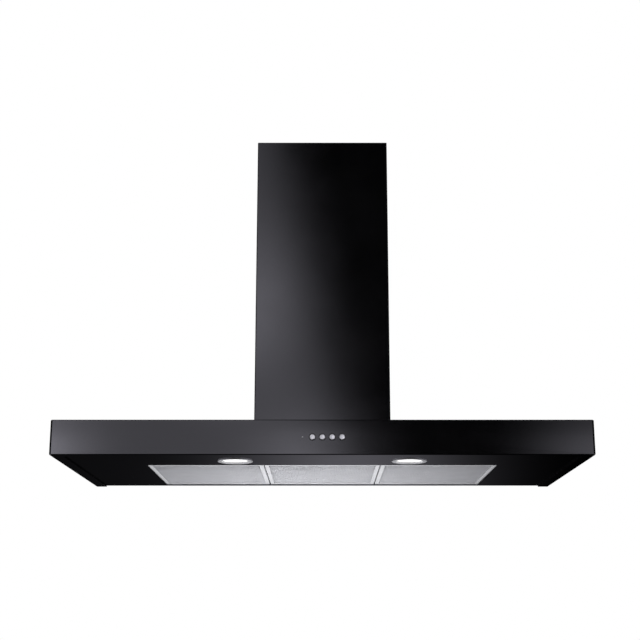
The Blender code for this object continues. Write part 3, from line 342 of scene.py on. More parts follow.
def lathe(profile, centre, axis, steps=64, closed=True):
    """A bmesh turned from (radius, distance along the axis) points; UVs follow the profile."""
    bm = bmesh.new()
    uv = bm.loops.layers.uv.new("UVMap")
    centre = Vector(centre)
    along = {"X": Vector((1, 0, 0)), "Y": Vector((0, 1, 0)), "Z": Vector((0, 0, 1))}[axis]
    first = Vector((0, 0, 1)) if axis != "Z" else Vector((1, 0, 0))
    second = along.cross(first)
    rings = []
    for radius, h in profile:
        if radius < 1e-7:
            rings.append([bm.verts.new(centre + along * h)])
            continue
        ring = []
        for i in range(steps):
            t = 2 * math.pi * i / steps
            ring.append(bm.verts.new(centre + along * h
                                     + (first * math.cos(t) + second * math.sin(t)) * radius))
        rings.append(ring)
    count = len(rings) if closed else len(rings) - 1
    for k in range(count):
        a, b = rings[k], rings[(k + 1) % len(rings)]
        ra, rb = (profile[m % len(rings)][0] * RINGS_PER_METRE for m in (k, k + 1))
        if len(a) == 1 and len(b) == 1:
            continue
        for i in range(steps):
            j = (i + 1) % steps
            if len(a) == 1:
                corners, us = (a[0], b[i], b[j]), (ra, rb, rb)
            elif len(b) == 1:
                corners, us = (a[i], b[0], a[j]), (ra, rb, ra)
            else:
                corners, us = (a[i], b[i], b[j], a[j]), (ra, rb, rb, ra)
            face = bm.faces.new(corners)
            for loop, u in zip(face.loops, us):
                loop[uv].uv = (u, 0)
    bmesh.ops.recalc_face_normals(bm, faces=bm.faces)
    return bm


def arc(centre, radius, start, end, steps):
    """Points on an arc between two angles in degrees."""
    turns = [math.radians(start + (end - start) * i / steps) for i in range(steps + 1)]
    return [(centre[0] + radius * math.cos(t), centre[1] + radius * math.sin(t)) for t in turns]


def add_block(bm, low, high):
    """Add a rectangular block between two corners to a bmesh."""
    low, high = Vector(low), Vector(high)
    place = Matrix.Translation((low + high) / 2) @ Matrix.Diagonal((*(high - low), 1))
    bmesh.ops.create_cube(bm, size=1, matrix=place)


# Filters --------------------------------------------------------------------------------------

BORDER = 0.009
GAUGE = 0.0008
MITRE_GAP = 0.00012
SIDE_GAP = 0.0007
BEND = 0.0013
BEAD_OFFSET = 0.080
BEAD_RADIUS = 0.0022
BEAD_HALF = 0.010
RIB_COUNT = 7
SCOOP_DEPTH = 0.0022


def channel_profile(low, top):
    """The frame's folded section, as (inward distance, height) round a closed outline."""
    lower = arc((BEND, low + BEND), BEND, 180, 270, 5)
    lip = arc((BORDER - 0.0007, low + 0.0007), 0.0007, -90, 60, 5)
    inner_low = [(BORDER - 0.0012, low + 0.0012), (BORDER - 0.002, low + GAUGE),
                 (BEND, low + GAUGE + 0.0003), (GAUGE, low + BEND + 0.0004)]
    inner_top = [(GAUGE, top - BEND - 0.0004), (BEND, top - GAUGE - 0.0003),
                 (BORDER - 0.0005, top - GAUGE)]
    upper = [(BORDER, top - GAUGE), (BORDER, top)] + arc((BEND, top - BEND), BEND, 90, 180, 5)
    groove = [(0.0050, low), (0.0055, low + 0.0005), (0.0062, low + 0.0005), (0.0067, low)]
    return lower + groove + lip + inner_low + inner_top + upper


def frame_bars(low, high):
    """Four bars of folded channel with mitred ends, as one bmesh."""
    bm = bmesh.new()
    corners = [(low.x, low.y), (high.x, low.y), (high.x, high.y), (low.x, high.y)]
    profile = channel_profile(low.z, high.z)
    for k in range(4):
        a, b = Vector(corners[k]), Vector(corners[(k + 1) % 4])
        run = (b - a).normalized()
        inward = Vector((-run.y, run.x))
        ends = []
        for base, sign in ((a, 1), (b, -1)):
            ends.append([bm.verts.new((*(base + inward * u + run * sign * (u + MITRE_GAP)), z))
                         for u, z in profile])
        count = len(profile)
        for i in range(count):
            j = (i + 1) % count
            bm.faces.new((ends[0][i], ends[1][i], ends[1][j], ends[0][j]))
        bm.faces.new(ends[0][::-1])
        bm.faces.new(ends[1])
    bmesh.ops.recalc_face_normals(bm, faces=bm.faces)
    return bm


def filter_frame(side):
    """The mitred frame with its hinge beads; the latch's bay is left open at the front edge."""
    node = f"filter_{side}_frame"
    low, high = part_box(node)
    hinge = Vector(JOINT[f"filter_{side}_hinge"]["pos_m"])
    high.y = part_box(f"filter_{side}_mesh")[1].y + 0.0011
    low.x, high.x = low.x + SIDE_GAP, high.x - SIDE_GAP
    bm = frame_bars(low, high)
    item = piece_from(node + "_skin", bm, "filter_frame", 30)
    latch_low, latch_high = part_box(f"filter_{side}_latch")
    cutter = bmesh.new()
    add_block(cutter, (latch_low.x - 0.0005, low.y + 0.0009, low.z - 0.001),
              (latch_high.x + 0.0005, latch_high.y + 0.0065, latch_high.z + 0.0004))
    add_block(cutter, (hinge.x - 0.0063, low.y - 0.001, low.z + 0.0018),
              (hinge.x + 0.0063, low.y + 0.002, low.z + 0.0042))
    tool = bpy.data.objects.new(f"cutter_{side}", mesh_from(f"cutter_{side}", cutter))
    bpy.context.scene.collection.objects.link(tool)
    change = item.modifiers.new("latch_bay", "BOOLEAN")
    change.object = tool
    change.operation = "DIFFERENCE"
    change.use_self = True
    # The cut comes before the weighted normals that piece_from added.
    item.modifiers.move(1, 0)
    bpy.context.view_layer.update()
    settle(item)
    bpy.data.objects.remove(tool)
    attach(item, node)
    for end, offset in (("a", -BEAD_OFFSET), ("b", BEAD_OFFSET)):
        bead(side, end, hinge + Vector((offset, 0, 0)), high.y)


def settle(item):
    """Apply an object's modifiers to its mesh."""
    graph = bpy.context.evaluated_depsgraph_get()
    mesh = bpy.data.meshes.new_from_object(item.evaluated_get(graph), depsgraph=graph)
    item.modifiers.clear()
    item.data = mesh


def bead(side, end, place, rear):
    """A rolled tab that hooks into the rear rail."""
    narrow, ease = BEAD_RADIUS - 0.0005, BEAD_HALF - 0.0005
    profile = [(0, -BEAD_HALF), (narrow, -BEAD_HALF), (BEAD_RADIUS, -ease), (BEAD_RADIUS, ease),
               (narrow, BEAD_HALF), (0, BEAD_HALF)]
    bm = lathe(profile, place, "X", 32, closed=False)
    add_block(bm, (place.x - 0.005, rear - 0.0004, place.z - 0.0005),
              (place.x + 0.005, place.y, place.z + 0.0005))
    item = piece_from(f"filter_{side}_bead_{end}", bm, "filter_frame", 30, 0.0001)
    add_on(item, f"filter_{side}")


CELL_LONG = 0.0070
CELL_SHORT = 0.0044


def expanded_layer(low, high, z, strand, rise):
    """One sheet of expanded aluminium: slanted strands that meet in a diamond lattice."""
    bm = bmesh.new()
    columns = int((high.x - low.x) / CELL_LONG)
    rows = int((high.y - low.y) / (CELL_SHORT / 2))
    step_x, step_y = (high.x - low.x) / columns, (high.y - low.y) / rows

    def knot(i, j):
        return Vector((low.x + (i + (j % 2) / 2) * step_x, low.y + j * step_y, z))

    for j in range(rows):
        for i in range(columns + 1):
            for shift in ((0, -1) if j % 2 == 0 else (0, 1)):
                a, b = knot(i, j), knot(i + shift, j + 1)
                if min(a.x, b.x) < low.x - 1e-6 or max(a.x, b.x) > high.x + 1e-6:
                    continue
                run = (b - a).normalized()
                across = Vector((-run.y, run.x, 0)) * strand / 2
                if across.y < 0:
                    across = -across
                crown = Vector((0, 0, -rise))
                ring = [(p - across + crown, p + across, p - across * 0.2 - crown * 0.6)
                        for p in (a, b)]
                v = [[bm.verts.new(q) for q in end] for end in ring]
                for m in range(3):
                    k = (m + 1) % 3
                    bm.faces.new((v[0][m], v[1][m], v[1][k], v[0][k]))
    bmesh.ops.recalc_face_normals(bm, faces=bm.faces)
    return bm


def backing_layer(low, high, z, cell=0.0052, depth=0.0006):
    """The pressed layer behind: a sheet with rows of shallow dimples, with a skin's thickness."""
    bm = bmesh.new()
    columns = int((high.x - low.x) / (cell / 2))
    rows = int((high.y - low.y) / (cell / 2))
    grid = []
    for j in range(rows + 1):
        line = []
        for i in range(columns + 1):
            lift = depth if (i + 2 * (j // 2 % 2)) % 4 < 2 and j % 2 else 0
            line.append(bm.verts.new((low.x + (high.x - low.x) * i / columns,
                                      low.y + (high.y - low.y) * j / rows, z + lift)))
        grid.append(line)
    for j in range(rows):
        for i in range(columns):
            bm.faces.new((grid[j][i], grid[j + 1][i], grid[j + 1][i + 1], grid[j][i + 1]))
    return bm


def filter_mesh(side):
    """The layers inside one frame: expanded sheet at the bottom and top, pressed sheet between."""
    node = f"filter_{side}_mesh"
    low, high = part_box(node)
    latch_low, latch_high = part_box(f"filter_{side}_latch")
    front = Vector((low.x + 0.004, low.y + 0.004, 0))
    rear = Vector((high.x - 0.004, high.y - 0.004, 0))
    bm = expanded_layer(front, rear, low.z + 0.0007, 0.0011, 0.0005)
    bottom = piece_from(node + "_face", bm, "filter_mesh", 20)
    attach(bottom, node)
    layers = [bottom]
    bm = expanded_layer(front, rear, high.z - 0.0008, 0.0011, -0.0005)
    layers.append(piece_from(f"filter_{side}_mesh_top", bm, "filter_mesh", 20))
    for k, z in enumerate((low.z + 0.0016, high.z - 0.0022)):
        bm = backing_layer(front, rear, z)
        layers.append(piece_from(f"filter_{side}_mesh_core_{k + 1}", bm, "filter_mesh", 20))
    for item in layers[1:]:
        add_on(item, f"filter_{side}")
    for item in (layers[0], layers[2]):
        trim_for_latch(item, latch_low, latch_high)


def trim_for_latch(item, low, high):
    """Delete the faces of a mesh layer that lie in the latch's bay."""
    bm = bmesh.new()
    bm.from_mesh(item.data)
    inside = [f for f in bm.faces
              if low.x - 0.002 < f.calc_center_median().x < high.x + 0.002
              and f.calc_center_median().y < high.y + 0.0075]
    bmesh.ops.delete(bm, geom=inside, context="FACES")
    bm.to_mesh(item.data)
    bm.free()


def filter_latch(side):
    """The slider with a scooped finger grip and ribs."""
    node = f"filter_{side}_latch"
    low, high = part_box(node)
    body_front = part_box(f"filter_{side}_frame")[0].y + 0.0013
    x = (low.x + high.x) / 2
    bm = bmesh.new()
    length = high.y - body_front
    steps = 18
    floor = []
    for i in range(steps + 1):
        t = i / steps
        dip = SCOOP_DEPTH * math.sin(math.pi * min(1, max(0, (t - 0.18) / 0.64))) ** 2
        ribs = 0.00025 * (1 - math.cos(2 * math.pi * t * RIB_COUNT)) if 0.3 < t < 0.7 else 0
        floor.append((body_front + t * length, low.z + max(0, dip - ribs)))
    outline = floor + [(high.y, high.z), (body_front, high.z)]
    rims = [((low.x, low.x + 0.003), False), ((low.x + 0.003, high.x - 0.003), True),
            ((high.x - 0.003, high.x), False)]
    for (x0, x1), scooped in rims:
        shape = outline if scooped else [(body_front, low.z), (high.y, low.z), (high.y, high.z),
                                         (body_front, high.z)]
        face = bm.faces.new([bm.verts.new((x0, y, z)) for y, z in shape])
        grown = bmesh.ops.extrude_face_region(bm, geom=[face])["geom"]
        bmesh.ops.translate(bm, vec=(x1 - x0, 0, 0),
                            verts=[v for v in grown if isinstance(v, bmesh.types.BMVert)])
    add_block(bm, (x - 0.006, low.y, low.z + 0.0022), (x + 0.006, body_front + 0.001,
                                                      low.z + 0.0038))
    bmesh.ops.recalc_face_normals(bm, faces=bm.faces)
    item = piece_from(node + "_skin", bm, "latch_plastic", 35, 0.0002)
    attach(item, node)


# Lamps and controls ---------------------------------------------------------------------------

FIN_COUNT = 20
FIN_RADIUS = 0.0292
FIN_SIZE = (0.0042, 0.0011, 0.0145)
BUTTON_RADIUS = 0.0052
DISH_RADIUS = 0.0044
DISH_DEPTH = 0.0003
# Inner and outer radius of the black ring of painted shade in each button hole.
SHADE_RING_INNER = 0.00562
SHADE_RING_OUTER = 0.00586


def lamp(side):
    """A trim ring with a rolled lip and a stepped throat, and a lit prism lens."""
    low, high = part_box(f"lamp_{side}_bezel")
    centre = ((low.x + high.x) / 2, (low.y + high.y) / 2, 0)
    radius, lip = (high.x - low.x) / 2, 0.0020
    sleeve, rim = radius - 0.0045, radius - 0.0015
    profile = ([(rim, lip)] + arc((rim - 0.0009, low.z + 0.0009), 0.0009, 0, -80, 5)
               + arc((radius - 0.0052, low.z + 0.0016), 0.0014, -70, -110, 3)
               + arc((radius - 0.0086, low.z + 0.0010), 0.0010, -90, -180, 5)
               + [(radius - 0.0096, 0.0026), (radius - 0.0101, 0.0030), (radius - 0.0101, 0.0042),
                  (sleeve - 0.0013, 0.0042), (sleeve - 0.0013, high.z), (sleeve, high.z),
                  (sleeve, lip)])
    ring = piece_from(f"lamp_{side}_bezel_skin", lathe(profile, centre, "Z", 96), "lamp_trim", 40)
    attach(ring, f"lamp_{side}_bezel")

    low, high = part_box(f"lamp_{side}_lens")
    edge = (high.x - low.x) / 2
    inner = radius - 0.0105
    dome = [(inner * math.cos(t), low.z + 0.0001 - 0.0006 * math.sin(t)) for t in
            (math.pi / 2 * k / 10 for k in range(1, 11))]
    dome[-1] = (0, dome[-1][1])
    profile = [(0, high.z), (edge, high.z), (edge, low.z + 0.0003), (inner, low.z + 0.0001)] + dome
    glass = piece_from(f"lamp_{side}_lens_skin", lathe(profile, centre, "Z", 96, closed=False),
                       "lamp_lens", 40)
    attach(glass, f"lamp_{side}_lens")
    refine(f"lamp_{side}_module", 0.0004)


def heat_sink(side):
    """Fins round the back of the lamp module."""
    low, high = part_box(f"lamp_{side}_module")
    middle = (low + high) / 2
    bm = bmesh.new()
    for i in range(FIN_COUNT):
        turn = Matrix.Rotation(2 * math.pi * i / FIN_COUNT, 4, "Z")
        place = (Matrix.Translation((middle.x, middle.y, high.z - 0.0075)) @ turn
                 @ Matrix.Translation((FIN_RADIUS, 0, 0)) @ Matrix.Diagonal((*FIN_SIZE, 1)))
        bmesh.ops.create_cube(bm, size=1, matrix=place)
    item = piece_from(f"lamp_{side}_fins", bm, "lamp_module", 35, 0.0002)
    add_on(item, "root")


def button(index):
    """A turned steel button: domed edge, shallow dished face."""
    node = f"button_{index}"
    low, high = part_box(node)
    shell_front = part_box("canopy_shell")[0].y
    centre = ((low.x + high.x) / 2, 0, (low.z + high.z) / 2)
    face, radius = low.y, BUTTON_RADIUS
    rim = arc((radius - 0.0007, face + 0.0007), 0.0007, -90, 0, 5)
    dish = [(0, face + DISH_DEPTH)] + [(r, face + DISH_DEPTH * (1 - (r / DISH_RADIUS) ** 2))
                                       for r in (0.0011, 0.0022, 0.0033, DISH_RADIUS)]
    collar = (high.x - low.x) / 2
    behind = shell_front + 0.0013
    profile = (dish + rim + [(radius, behind), (collar, behind), (collar, behind + 0.0012),
                             (0.003, behind + 0.0012), (0.003, high.y), (0, high.y)])
    item = piece_from(node + "_skin", lathe(profile, centre, "Y", 64, closed=False),
                      "button_steel", 40)
    attach(item, node)


def button_gap_shades():
    """A black ring in each button hole: painted shade that stands for the dark gap round the
    button, seen as a dark edge.
    """
    shell_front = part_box("canopy_shell")[0].y
    for index in range(1, 5):
        low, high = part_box(f"button_{index}")
        centre = ((low.x + high.x) / 2, 0, (low.z + high.z) / 2)
        profile = [(SHADE_RING_INNER, shell_front - 0.0002), (SHADE_RING_OUTER + 0.0009, shell_front - 0.0004),
                   (SHADE_RING_OUTER + 0.0014, shell_front - 0.00005), (SHADE_RING_OUTER, shell_front),
                   (SHADE_RING_OUTER, shell_front + 0.0009), (SHADE_RING_INNER, shell_front + 0.0009)]
        # The black plastic here is painted shade: the ring fills the gap round the button so that
        # the gap reads dark.
        item = piece_from(f"button_gap_shade_{index}", lathe(profile, centre, "Y", 64),
                          "black_plastic", 40)
        add_on(item, "root")


def indicator():
    """The small round light left of the buttons, with a domed front."""
    node = "indicator_lens"
    low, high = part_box(node)
    centre = ((low.x + high.x) / 2, 0, (low.z + high.z) / 2)
    front = low.y
    dome = [(0.0015 * math.sin(t), front + 0.0006 * (1 - math.cos(t)))
            for t in (math.pi / 2 * k / 6 for k in range(7))]
    dome[0] = (0, front)
    profile = dome + [(0.0015, front + 0.0020), (0.0022, front + 0.0020), (0.0022, high.y),
                      (0, high.y)]
    item = piece_from(node + "_skin", lathe(profile, centre, "Y", 40, closed=False),
                      "indicator", 40)
    attach(item, node)


# Screws and pressings -------------------------------------------------------------------------

SCREW_RADIUS = 0.0030
SCREW_HEIGHT = 0.0018
SHANK_RADIUS = 0.0015
STRAP_GAP = 0.0003
COLLAR_CIRCLE = 0.0815
FACING = {"+Y": Matrix.Rotation(-math.pi / 2, 4, "X"), "+Z": Matrix.Identity(4)}


def screw_mesh(radius, height, shank=0.0):
    """A pan-head screw with a cross recess, its seat at z = 0 and any shank below it."""
    foot = [(0, -shank), (SHANK_RADIUS - 0.0004, -shank), (SHANK_RADIUS, -shank + 0.0006),
            (SHANK_RADIUS, 0)] if shank else [(0, 0)]
    profile = (foot + [(radius, 0), (radius, height * 0.35)]
               + arc((radius - height * 0.65, height * 0.35), height * 0.65, 0, 70, 4)
               + [(0, height)])
    head = mesh_from("screw_head", lathe(profile, (0, 0, 0), "Z", 28, closed=False))
    body = bpy.data.objects.new("screw_head", head)
    cross = bmesh.new()
    reach, wide = radius * 0.55, radius * 0.16
    add_block(cross, (-reach, -wide, height * 0.45), (reach, wide, height * 1.5))
    add_block(cross, (-wide, -reach, height * 0.45), (wide, reach, height * 1.5))
    tool = bpy.data.objects.new("screw_slot", mesh_from("screw_slot", cross))
    for item in (body, tool):
        bpy.context.scene.collection.objects.link(item)
    change = body.modifiers.new("recess", "BOOLEAN")
    change.object = tool
    change.operation = "DIFFERENCE"
    change.use_self = True
    bpy.context.view_layer.update()
    settle(body)
    mesh = body.data
    mesh.shade_smooth()
    mesh.set_sharp_from_angle(angle=math.radians(35))
    mesh.materials.append(MATERIALS["steel_pin"])
    bpy.data.objects.remove(body)
    bpy.data.objects.remove(tool)
    return mesh


def put_screw(name, mesh, place, facing, index):
    """One screw at its seat, turned a little differently from its neighbours."""
    item = bpy.data.objects.new(name, mesh)
    spin = Matrix.Rotation(math.radians(37 * index + 11), 4, "Z")
    item.matrix_world = Matrix.Translation(place) @ FACING[facing] @ spin
    bpy.context.scene.collection.objects.link(item)
    return item


def chassis_rear():
    """Where the chassis's rear face is: just inside the capacitor's strap, which sits on it."""
    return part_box("capacitor_strap")[0].y - STRAP_GAP


def extra_screws(name, places, facing, radius=SCREW_RADIUS, height=SCREW_HEIGHT):
    """Screw heads of one size at several places, all facing one way."""
    mesh = screw_mesh(radius, height)
    for i, place in enumerate(places):
        add_on(put_screw(f"{name}_{i + 1}", mesh, place, facing, i), "root")


def frame_screws(stem, count, facing):
    """The screws that the frame holds as nodes, with a rounded head, a recess and a shank."""
    along = "YZ".index(facing[1]) + 1
    low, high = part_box(f"{stem}_1")
    mesh = screw_mesh(SCREW_RADIUS, SCREW_HEIGHT, (high - low)[along] - SCREW_HEIGHT)
    for i in range(count):
        node = f"{stem}_{i + 1}"
        low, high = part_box(node)
        seat = (low + high) / 2
        seat[along] = high[along] - SCREW_HEIGHT
        attach(put_screw(node + "_skin", mesh, seat, facing, i), node)


def all_screws():
    """The frame's screws, and those of the chassis's rear wall and the outlet's flange."""
    frame_screws("foot_screw", 4, "+Z")
    frame_screws("strap_screw", 2, "+Y")
    frame_screws("lid_screw", 4, "+Y")
    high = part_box("blower_chassis")[1]
    rear = chassis_rear()
    half = high.x - 0.022
    extra_screws("chassis_screw", [(x, rear, z) for x in (-half, half)
                                   for z in (0.095, 0.200, high.z - 0.012)], "+Y")
    low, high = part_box("outlet_collar")
    middle = (low + high) / 2
    flange = low.z + 0.0015
    turns = [2 * math.pi * (i + 0.5) / 6 for i in range(6)]
    extra_screws("collar_screw", [(middle.x + COLLAR_CIRCLE * math.cos(t),
                                   middle.y + COLLAR_CIRCLE * math.sin(t), flange)
                                  for t in turns], "+Z", 0.0028, 0.0016)


# Parts behind the blower ----------------------------------------------------------------------

def capacitor():
    """The capacitor's can: a rolled rim at one end, a moulded cap with two blades at the other."""
    low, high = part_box("capacitor")
    centre = ((low.x + high.x) / 2, (low.y + high.y) / 2, (low.z + high.z) / 2)
    half, radius = (high.x - low.x) / 2, (high.z - low.z) / 2
    profile = ([(0, -half + 0.0008), (radius - 0.0040, -half + 0.0008), (radius - 0.0036, -half)]
               + arc((radius - 0.0030, -half + 0.0030), 0.0030, -90, 0, 6)
               + [(radius, half - 0.0075), (radius - 0.0006, half - 0.0070),
                  (radius - 0.0006, half - 0.0062), (radius, half - 0.0057)]
               + arc((radius - 0.0012, half - 0.0012), 0.0012, 0, 90, 4)
               + [(radius - 0.0034, half), (radius - 0.0038, half - 0.0012), (0, half - 0.0012)])
    item = piece_from("capacitor_skin", lathe(profile, centre, "X", 72, closed=False),
                      "white_plastic", 40)
    attach(item, "capacitor")
    blades = bmesh.new()
    for offset in (-0.005, 0.005):
        add_block(blades, (high.x - 0.0013, centre[1] + offset - 0.0004, centre[2] - 0.0032),
                  (high.x + 0.0065, centre[1] + offset + 0.0004, centre[2] + 0.0032))
    add_on(piece_from("capacitor_blades", blades, "steel_pin", 35, 0.0002), "root")


def rounded_bar(bm, a, b, radius, flat):
    """A pressed bead: a half-round ridge with round ends between two points on a rear face."""
    a, b = Vector(a), Vector(b)
    run = (b - a).normalized()
    side = run.cross(Vector((0, 1, 0)))
    stations = ([(a, math.radians(t)) for t in range(-90, 1, 15)]
                + [(b, math.radians(t)) for t in range(0, 91, 15)])
    rows = []
    for middle, turn in stations:
        reach, along = radius * math.cos(turn), radius * math.sin(turn)
        row = []
        for k in range(9):
            t = math.pi * k / 8
            row.append(bm.verts.new(middle + run * along + side * reach * math.cos(t)
                                    + Vector((0, flat * math.sin(t) * math.cos(turn), 0))))
        rows.append(row)
    for one, two in zip(rows, rows[1:]):
        for k in range(8):
            bm.faces.new((one[k], one[k + 1], two[k + 1], two[k]))
    bmesh.ops.remove_doubles(bm, verts=bm.verts, dist=1e-6)
    bmesh.ops.recalc_face_normals(bm, faces=bm.faces)


def chassis_beads():
    """Beads pressed into the chassis's rear wall to stiffen it, and its two folded seams."""
    low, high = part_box("blower_chassis")
    rear = chassis_rear()
    half = (high.x - low.x) / 2 - 0.012
    bm = bmesh.new()
    for z in (0.250, 0.270, 0.290):
        rounded_bar(bm, (-half * 0.72, rear - 0.0001, z), (half * 0.72, rear - 0.0001, z), 0.0035,
                    0.0012)
    add_on(piece_from("chassis_beads", bm, "galvanised_steel", 60), "root")
    seams = bmesh.new()
    for x in (-half + 0.0005, half - 0.0165):
        add_block(seams, (x, rear - 0.0002, low.z + 0.004), (x + 0.016, rear + 0.0008,
                                                             high.z - 0.002))
    add_on(piece_from("chassis_seams", seams, "galvanised_steel", 35, 0.0003), "root")


def carried_over():
    """Every CAD node that keeps its own shape, with softened edges."""
    fine = {"canopy_shell": 0.0002, "underside_panel": 0.0002, "chimney_lower": 0.0002,
            "chimney_upper": 0.0002, "canopy_rear_panel": 0.0002, "filter_rail": 0.0002,
            "impeller": 0.0, "motor_shaft": 0.0003, "damper_pin_front": 0.0002,
            "damper_pin_rear": 0.0002, "terminal_box": 0.0006, "terminal_box_lid": 0.0005,
            "led_driver": 0.0008, "capacitor_strap": 0.0001, "cable_gland": 0.0, "motor": 0.0,
            "blower_chassis": 0.0002, "motor_bracket": 0.0002, "outlet_collar": 0.0002,
            "switch_block": 0.0004, "control_board": 0.0002, "terminal_block": 0.0004,
            "volute_left": 0.0004, "volute_right": 0.0004, "damper_flap_front": 0.0,
            "damper_flap_rear": 0.0, "hanger_plate_left": 0.0003, "hanger_plate_right": 0.0003,
            "chimney_bracket": 0.0002}
    for node, bevel in fine.items():
        refine(node, bevel)


# Stage ----------------------------------------------------------------------------------------

FLOOR_REACH = 60.0
FLOOR_HEIGHT = -1.4
CAMERA_LENS = 63.89
CAMERA_SHIFT = (-0.0036, 0.0795)
CAMERA_BACK = 2.259
CAMERA_BELOW = 0.3548
CAMERA_PITCH = 13.15


def floor():
    """A wide plain pale floor well below the hood. Reflections and bounced light leave it out."""
    corners = [(x * FLOOR_REACH, y * FLOOR_REACH, FLOOR_HEIGHT)
               for x, y in ((-1, -1), (1, -1), (1, 1), (-1, 1))]
    mesh = bpy.data.meshes.new("floor")
    mesh.from_pydata(corners, [], [(0, 1, 2, 3)])
    item = bpy.data.objects.new("floor", mesh)
    bpy.context.scene.collection.objects.link(item)
    n = Finish("floor")
    n.set(Base_Color=(0.97, 0.97, 0.97), Roughness=0.95, Specular_IOR_Level=0.0)
    mesh.materials.append(n.material)
    item.visible_glossy = False
    item.visible_diffuse = False


def sky_directions(n):
    """Azimuth and elevation in degrees: 0, 0 faces the front of the hood, 90 its right side."""
    way = n.add("ShaderNodeTexCoord").outputs["Generated"]
    parts = n.add("ShaderNodeSeparateXYZ", {"Vector": way}).outputs
    turn = n.math("ARCTAN2", parts["X"], n.math("MULTIPLY", parts["Y"], -1.0))
    azimuth = n.math("MULTIPLY", turn, math.degrees(1))
    elevation = n.math("MULTIPLY", n.math("ARCSINE", parts["Z"]), math.degrees(1))
    return azimuth, elevation


def blob(n, azimuth, elevation, centre, spread, strength):
    """A round soft patch of light."""
    parts = []
    for value, middle, width in zip((azimuth, elevation), centre, spread):
        off = n.math("DIVIDE", n.math("SUBTRACT", value, middle), width)
        parts.append(n.math("MULTIPLY", off, off))
    fall = n.math("MULTIPLY", n.math("ADD", *parts), -1.0)
    return n.math("MULTIPLY", n.math("EXPONENT", fall), strength)


def reflected_studio(n):
    """The brightness of the studio as the shiny faces see it.

    In front: one soft panel whose edge slopes, two end panels and two soft spots. Behind and to the
    sides: a pale lower band, a pale band high at the rear, and a faint glow below the hood.
    """
    azimuth, elevation = sky_directions(n)
    aside = n.math("ABSOLUTE", azimuth)
    slope = n.math("ADD", azimuth, n.math("MULTIPLY", n.math("SUBTRACT", elevation, 11.0), 0.25))
    lower = n.ease(elevation, 11.2, 8.6, 0.85, 2.3)

    panel = n.math("MULTIPLY", n.ease(slope, 2.0, -0.9, 0.0, 1.25), n.ease(azimuth, -24, -18))
    left = n.math("MULTIPLY", n.ease(azimuth, -10.7, -15.5, 0.0, 2.0), n.ease(azimuth, -24, -18))
    right = n.math("MULTIPLY", n.ease(azimuth, 9.0, 15.5, 0.0, 0.9), n.ease(azimuth, 24, 18))
    ends = n.math("MULTIPLY", n.math("ADD", left, right), lower)
    front = n.math("ADD", n.math("ADD", panel, ends),
                   n.math("ADD", blob(n, azimuth, elevation, (-1.2, 8.2), (2.3, 2.4), 1.7),
                          blob(n, azimuth, elevation, (-4.2, 16.4), (2.2, 3.0), 2.0)))
    front = n.math("MULTIPLY", front, n.ease(elevation, 34, 26))
    front = n.math("MULTIPLY", front, n.ease(elevation, -4, 2))

    beside = n.math("MULTIPLY", n.ease(aside, 158, 148), n.ease(aside, 28, 45))
    below = n.math("MULTIPLY", n.ease(elevation, 6.0, -8.0, 0.0, 0.8), beside)
    below = n.math("MULTIPLY", below, n.ease(elevation, -70, -50))
    rear_high = n.math("MULTIPLY", n.ease(elevation, 20, 34, 0.0, 0.9), n.ease(aside, 80, 110))
    across = n.math("SUBTRACT", 180.0, aside)
    turned = n.math("MULTIPLY", across, n.math("SIGN", azimuth))
    glow = n.math("ADD", blob(n, turned, elevation, (1.1, -10.0), (5.0, 9.0), 0.205),
                  blob(n, turned, elevation, (-11.0, -10.0), (7.0, 9.0), 0.009))
    return n.math("ADD", n.math("ADD", front, below), n.math("ADD", rear_high, glow))


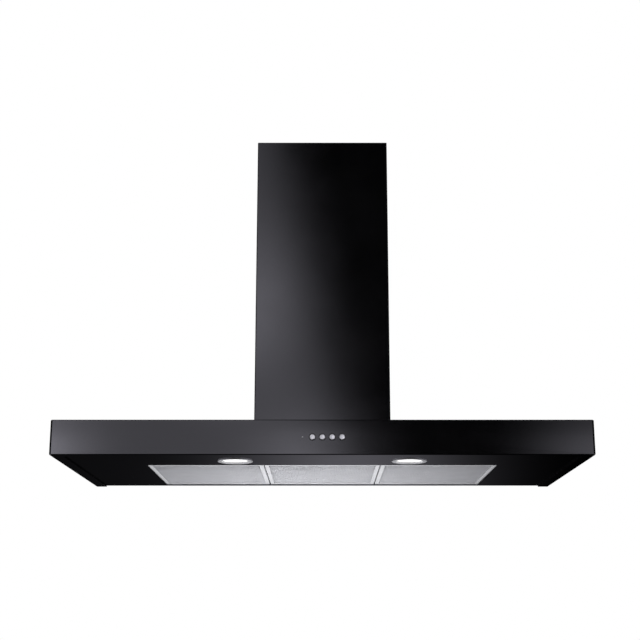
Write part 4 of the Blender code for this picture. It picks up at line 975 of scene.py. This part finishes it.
def world():
    """White behind the object, a soft even fill on it, and a studio in its reflections."""
    sky = bpy.data.worlds.new("studio")
    n = Nodes(sky)
    n.tree.nodes.clear()
    path = n.add("ShaderNodeLightPath").outputs
    white = n.add("ShaderNodeBackground", {"Color": (1.0, 1.0, 1.0), "Strength": 1.0})
    fill = n.add("ShaderNodeBackground", {
        "Color": (0.98, 0.98, 1.0), "Strength": n.ease(sky_directions(n)[1], -10, 10, 0.15, 1.0)})
    mirrored = n.add("ShaderNodeBackground", {"Color": (0.95, 0.93, 1.06),
                                              "Strength": reflected_studio(n)})
    glossy = n.add("ShaderNodeMixShader", {0: path["Is Glossy Ray"], 1: fill.outputs[0],
                                           2: mirrored.outputs[0]})
    seen = n.add("ShaderNodeMixShader", {0: path["Is Camera Ray"], 1: glossy.outputs[0],
                                         2: white.outputs[0]})
    n.add("ShaderNodeOutputWorld", {"Surface": seen.outputs[0]})
    bpy.context.scene.world = sky


def panel_light(name, place, target, size, power):
    """A soft rectangular light of a given power that faces a point."""
    data = bpy.data.lights.new(name, "AREA")
    data.shape = "RECTANGLE"
    data.size, data.size_y = size
    data.energy = power
    data.color = (0.97, 0.98, 1.0)
    item = bpy.data.objects.new(name, data)
    item.location = place
    item.rotation_euler = (Vector(target) - Vector(place)).to_track_quat("-Z", "Y").to_euler()
    item.visible_camera = False
    item.visible_glossy = False
    bpy.context.scene.collection.objects.link(item)


def lights():
    """Soft light from below, from above and from behind. Reflections leave the lamps out."""
    panel_light("from_below", (-0.035, 0.06, -0.46), (-0.035, 0.06, 0), (0.40, 0.25), 4.3)
    panel_light("from_above", (0.6, -0.6, 2.6), (0, 0, 0.2), (1.8, 1.4), 18)
    panel_light("from_behind", (-1.6, 2.3, 1.2), (0, 0.2, 0.25), (1.6, 1.6), 30)


def camera():
    """The camera stands in front of the canopy, below its underside, and looks up a little."""
    shell_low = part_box("canopy_shell")[0]
    data = bpy.data.cameras.new("camera")
    data.sensor_width = 36
    data.lens = CAMERA_LENS
    data.shift_x, data.shift_y = CAMERA_SHIFT
    item = bpy.data.objects.new("camera", data)
    item.location = (0, shell_low.y - CAMERA_BACK, shell_low.z - CAMERA_BELOW)
    item.rotation_euler = (math.radians(90 + CAMERA_PITCH), 0, 0)
    bpy.context.scene.collection.objects.link(item)
    bpy.context.scene.camera = item


def build():
    """Everything that the picture shows."""
    camera()
    carried_over()
    for side in FILTER_SIDES:
        filter_frame(side)
        filter_mesh(side)
        filter_latch(side)
    for side in LAMP_SIDES:
        lamp(side)
        heat_sink(side)
    for index in range(1, 5):
        button(index)
    button_gap_shades()
    indicator()
    all_screws()
    capacitor()
    chassis_beads()
    floor()
    world()
    lights()
    bpy.context.scene.view_settings.view_transform = "Standard"


build()
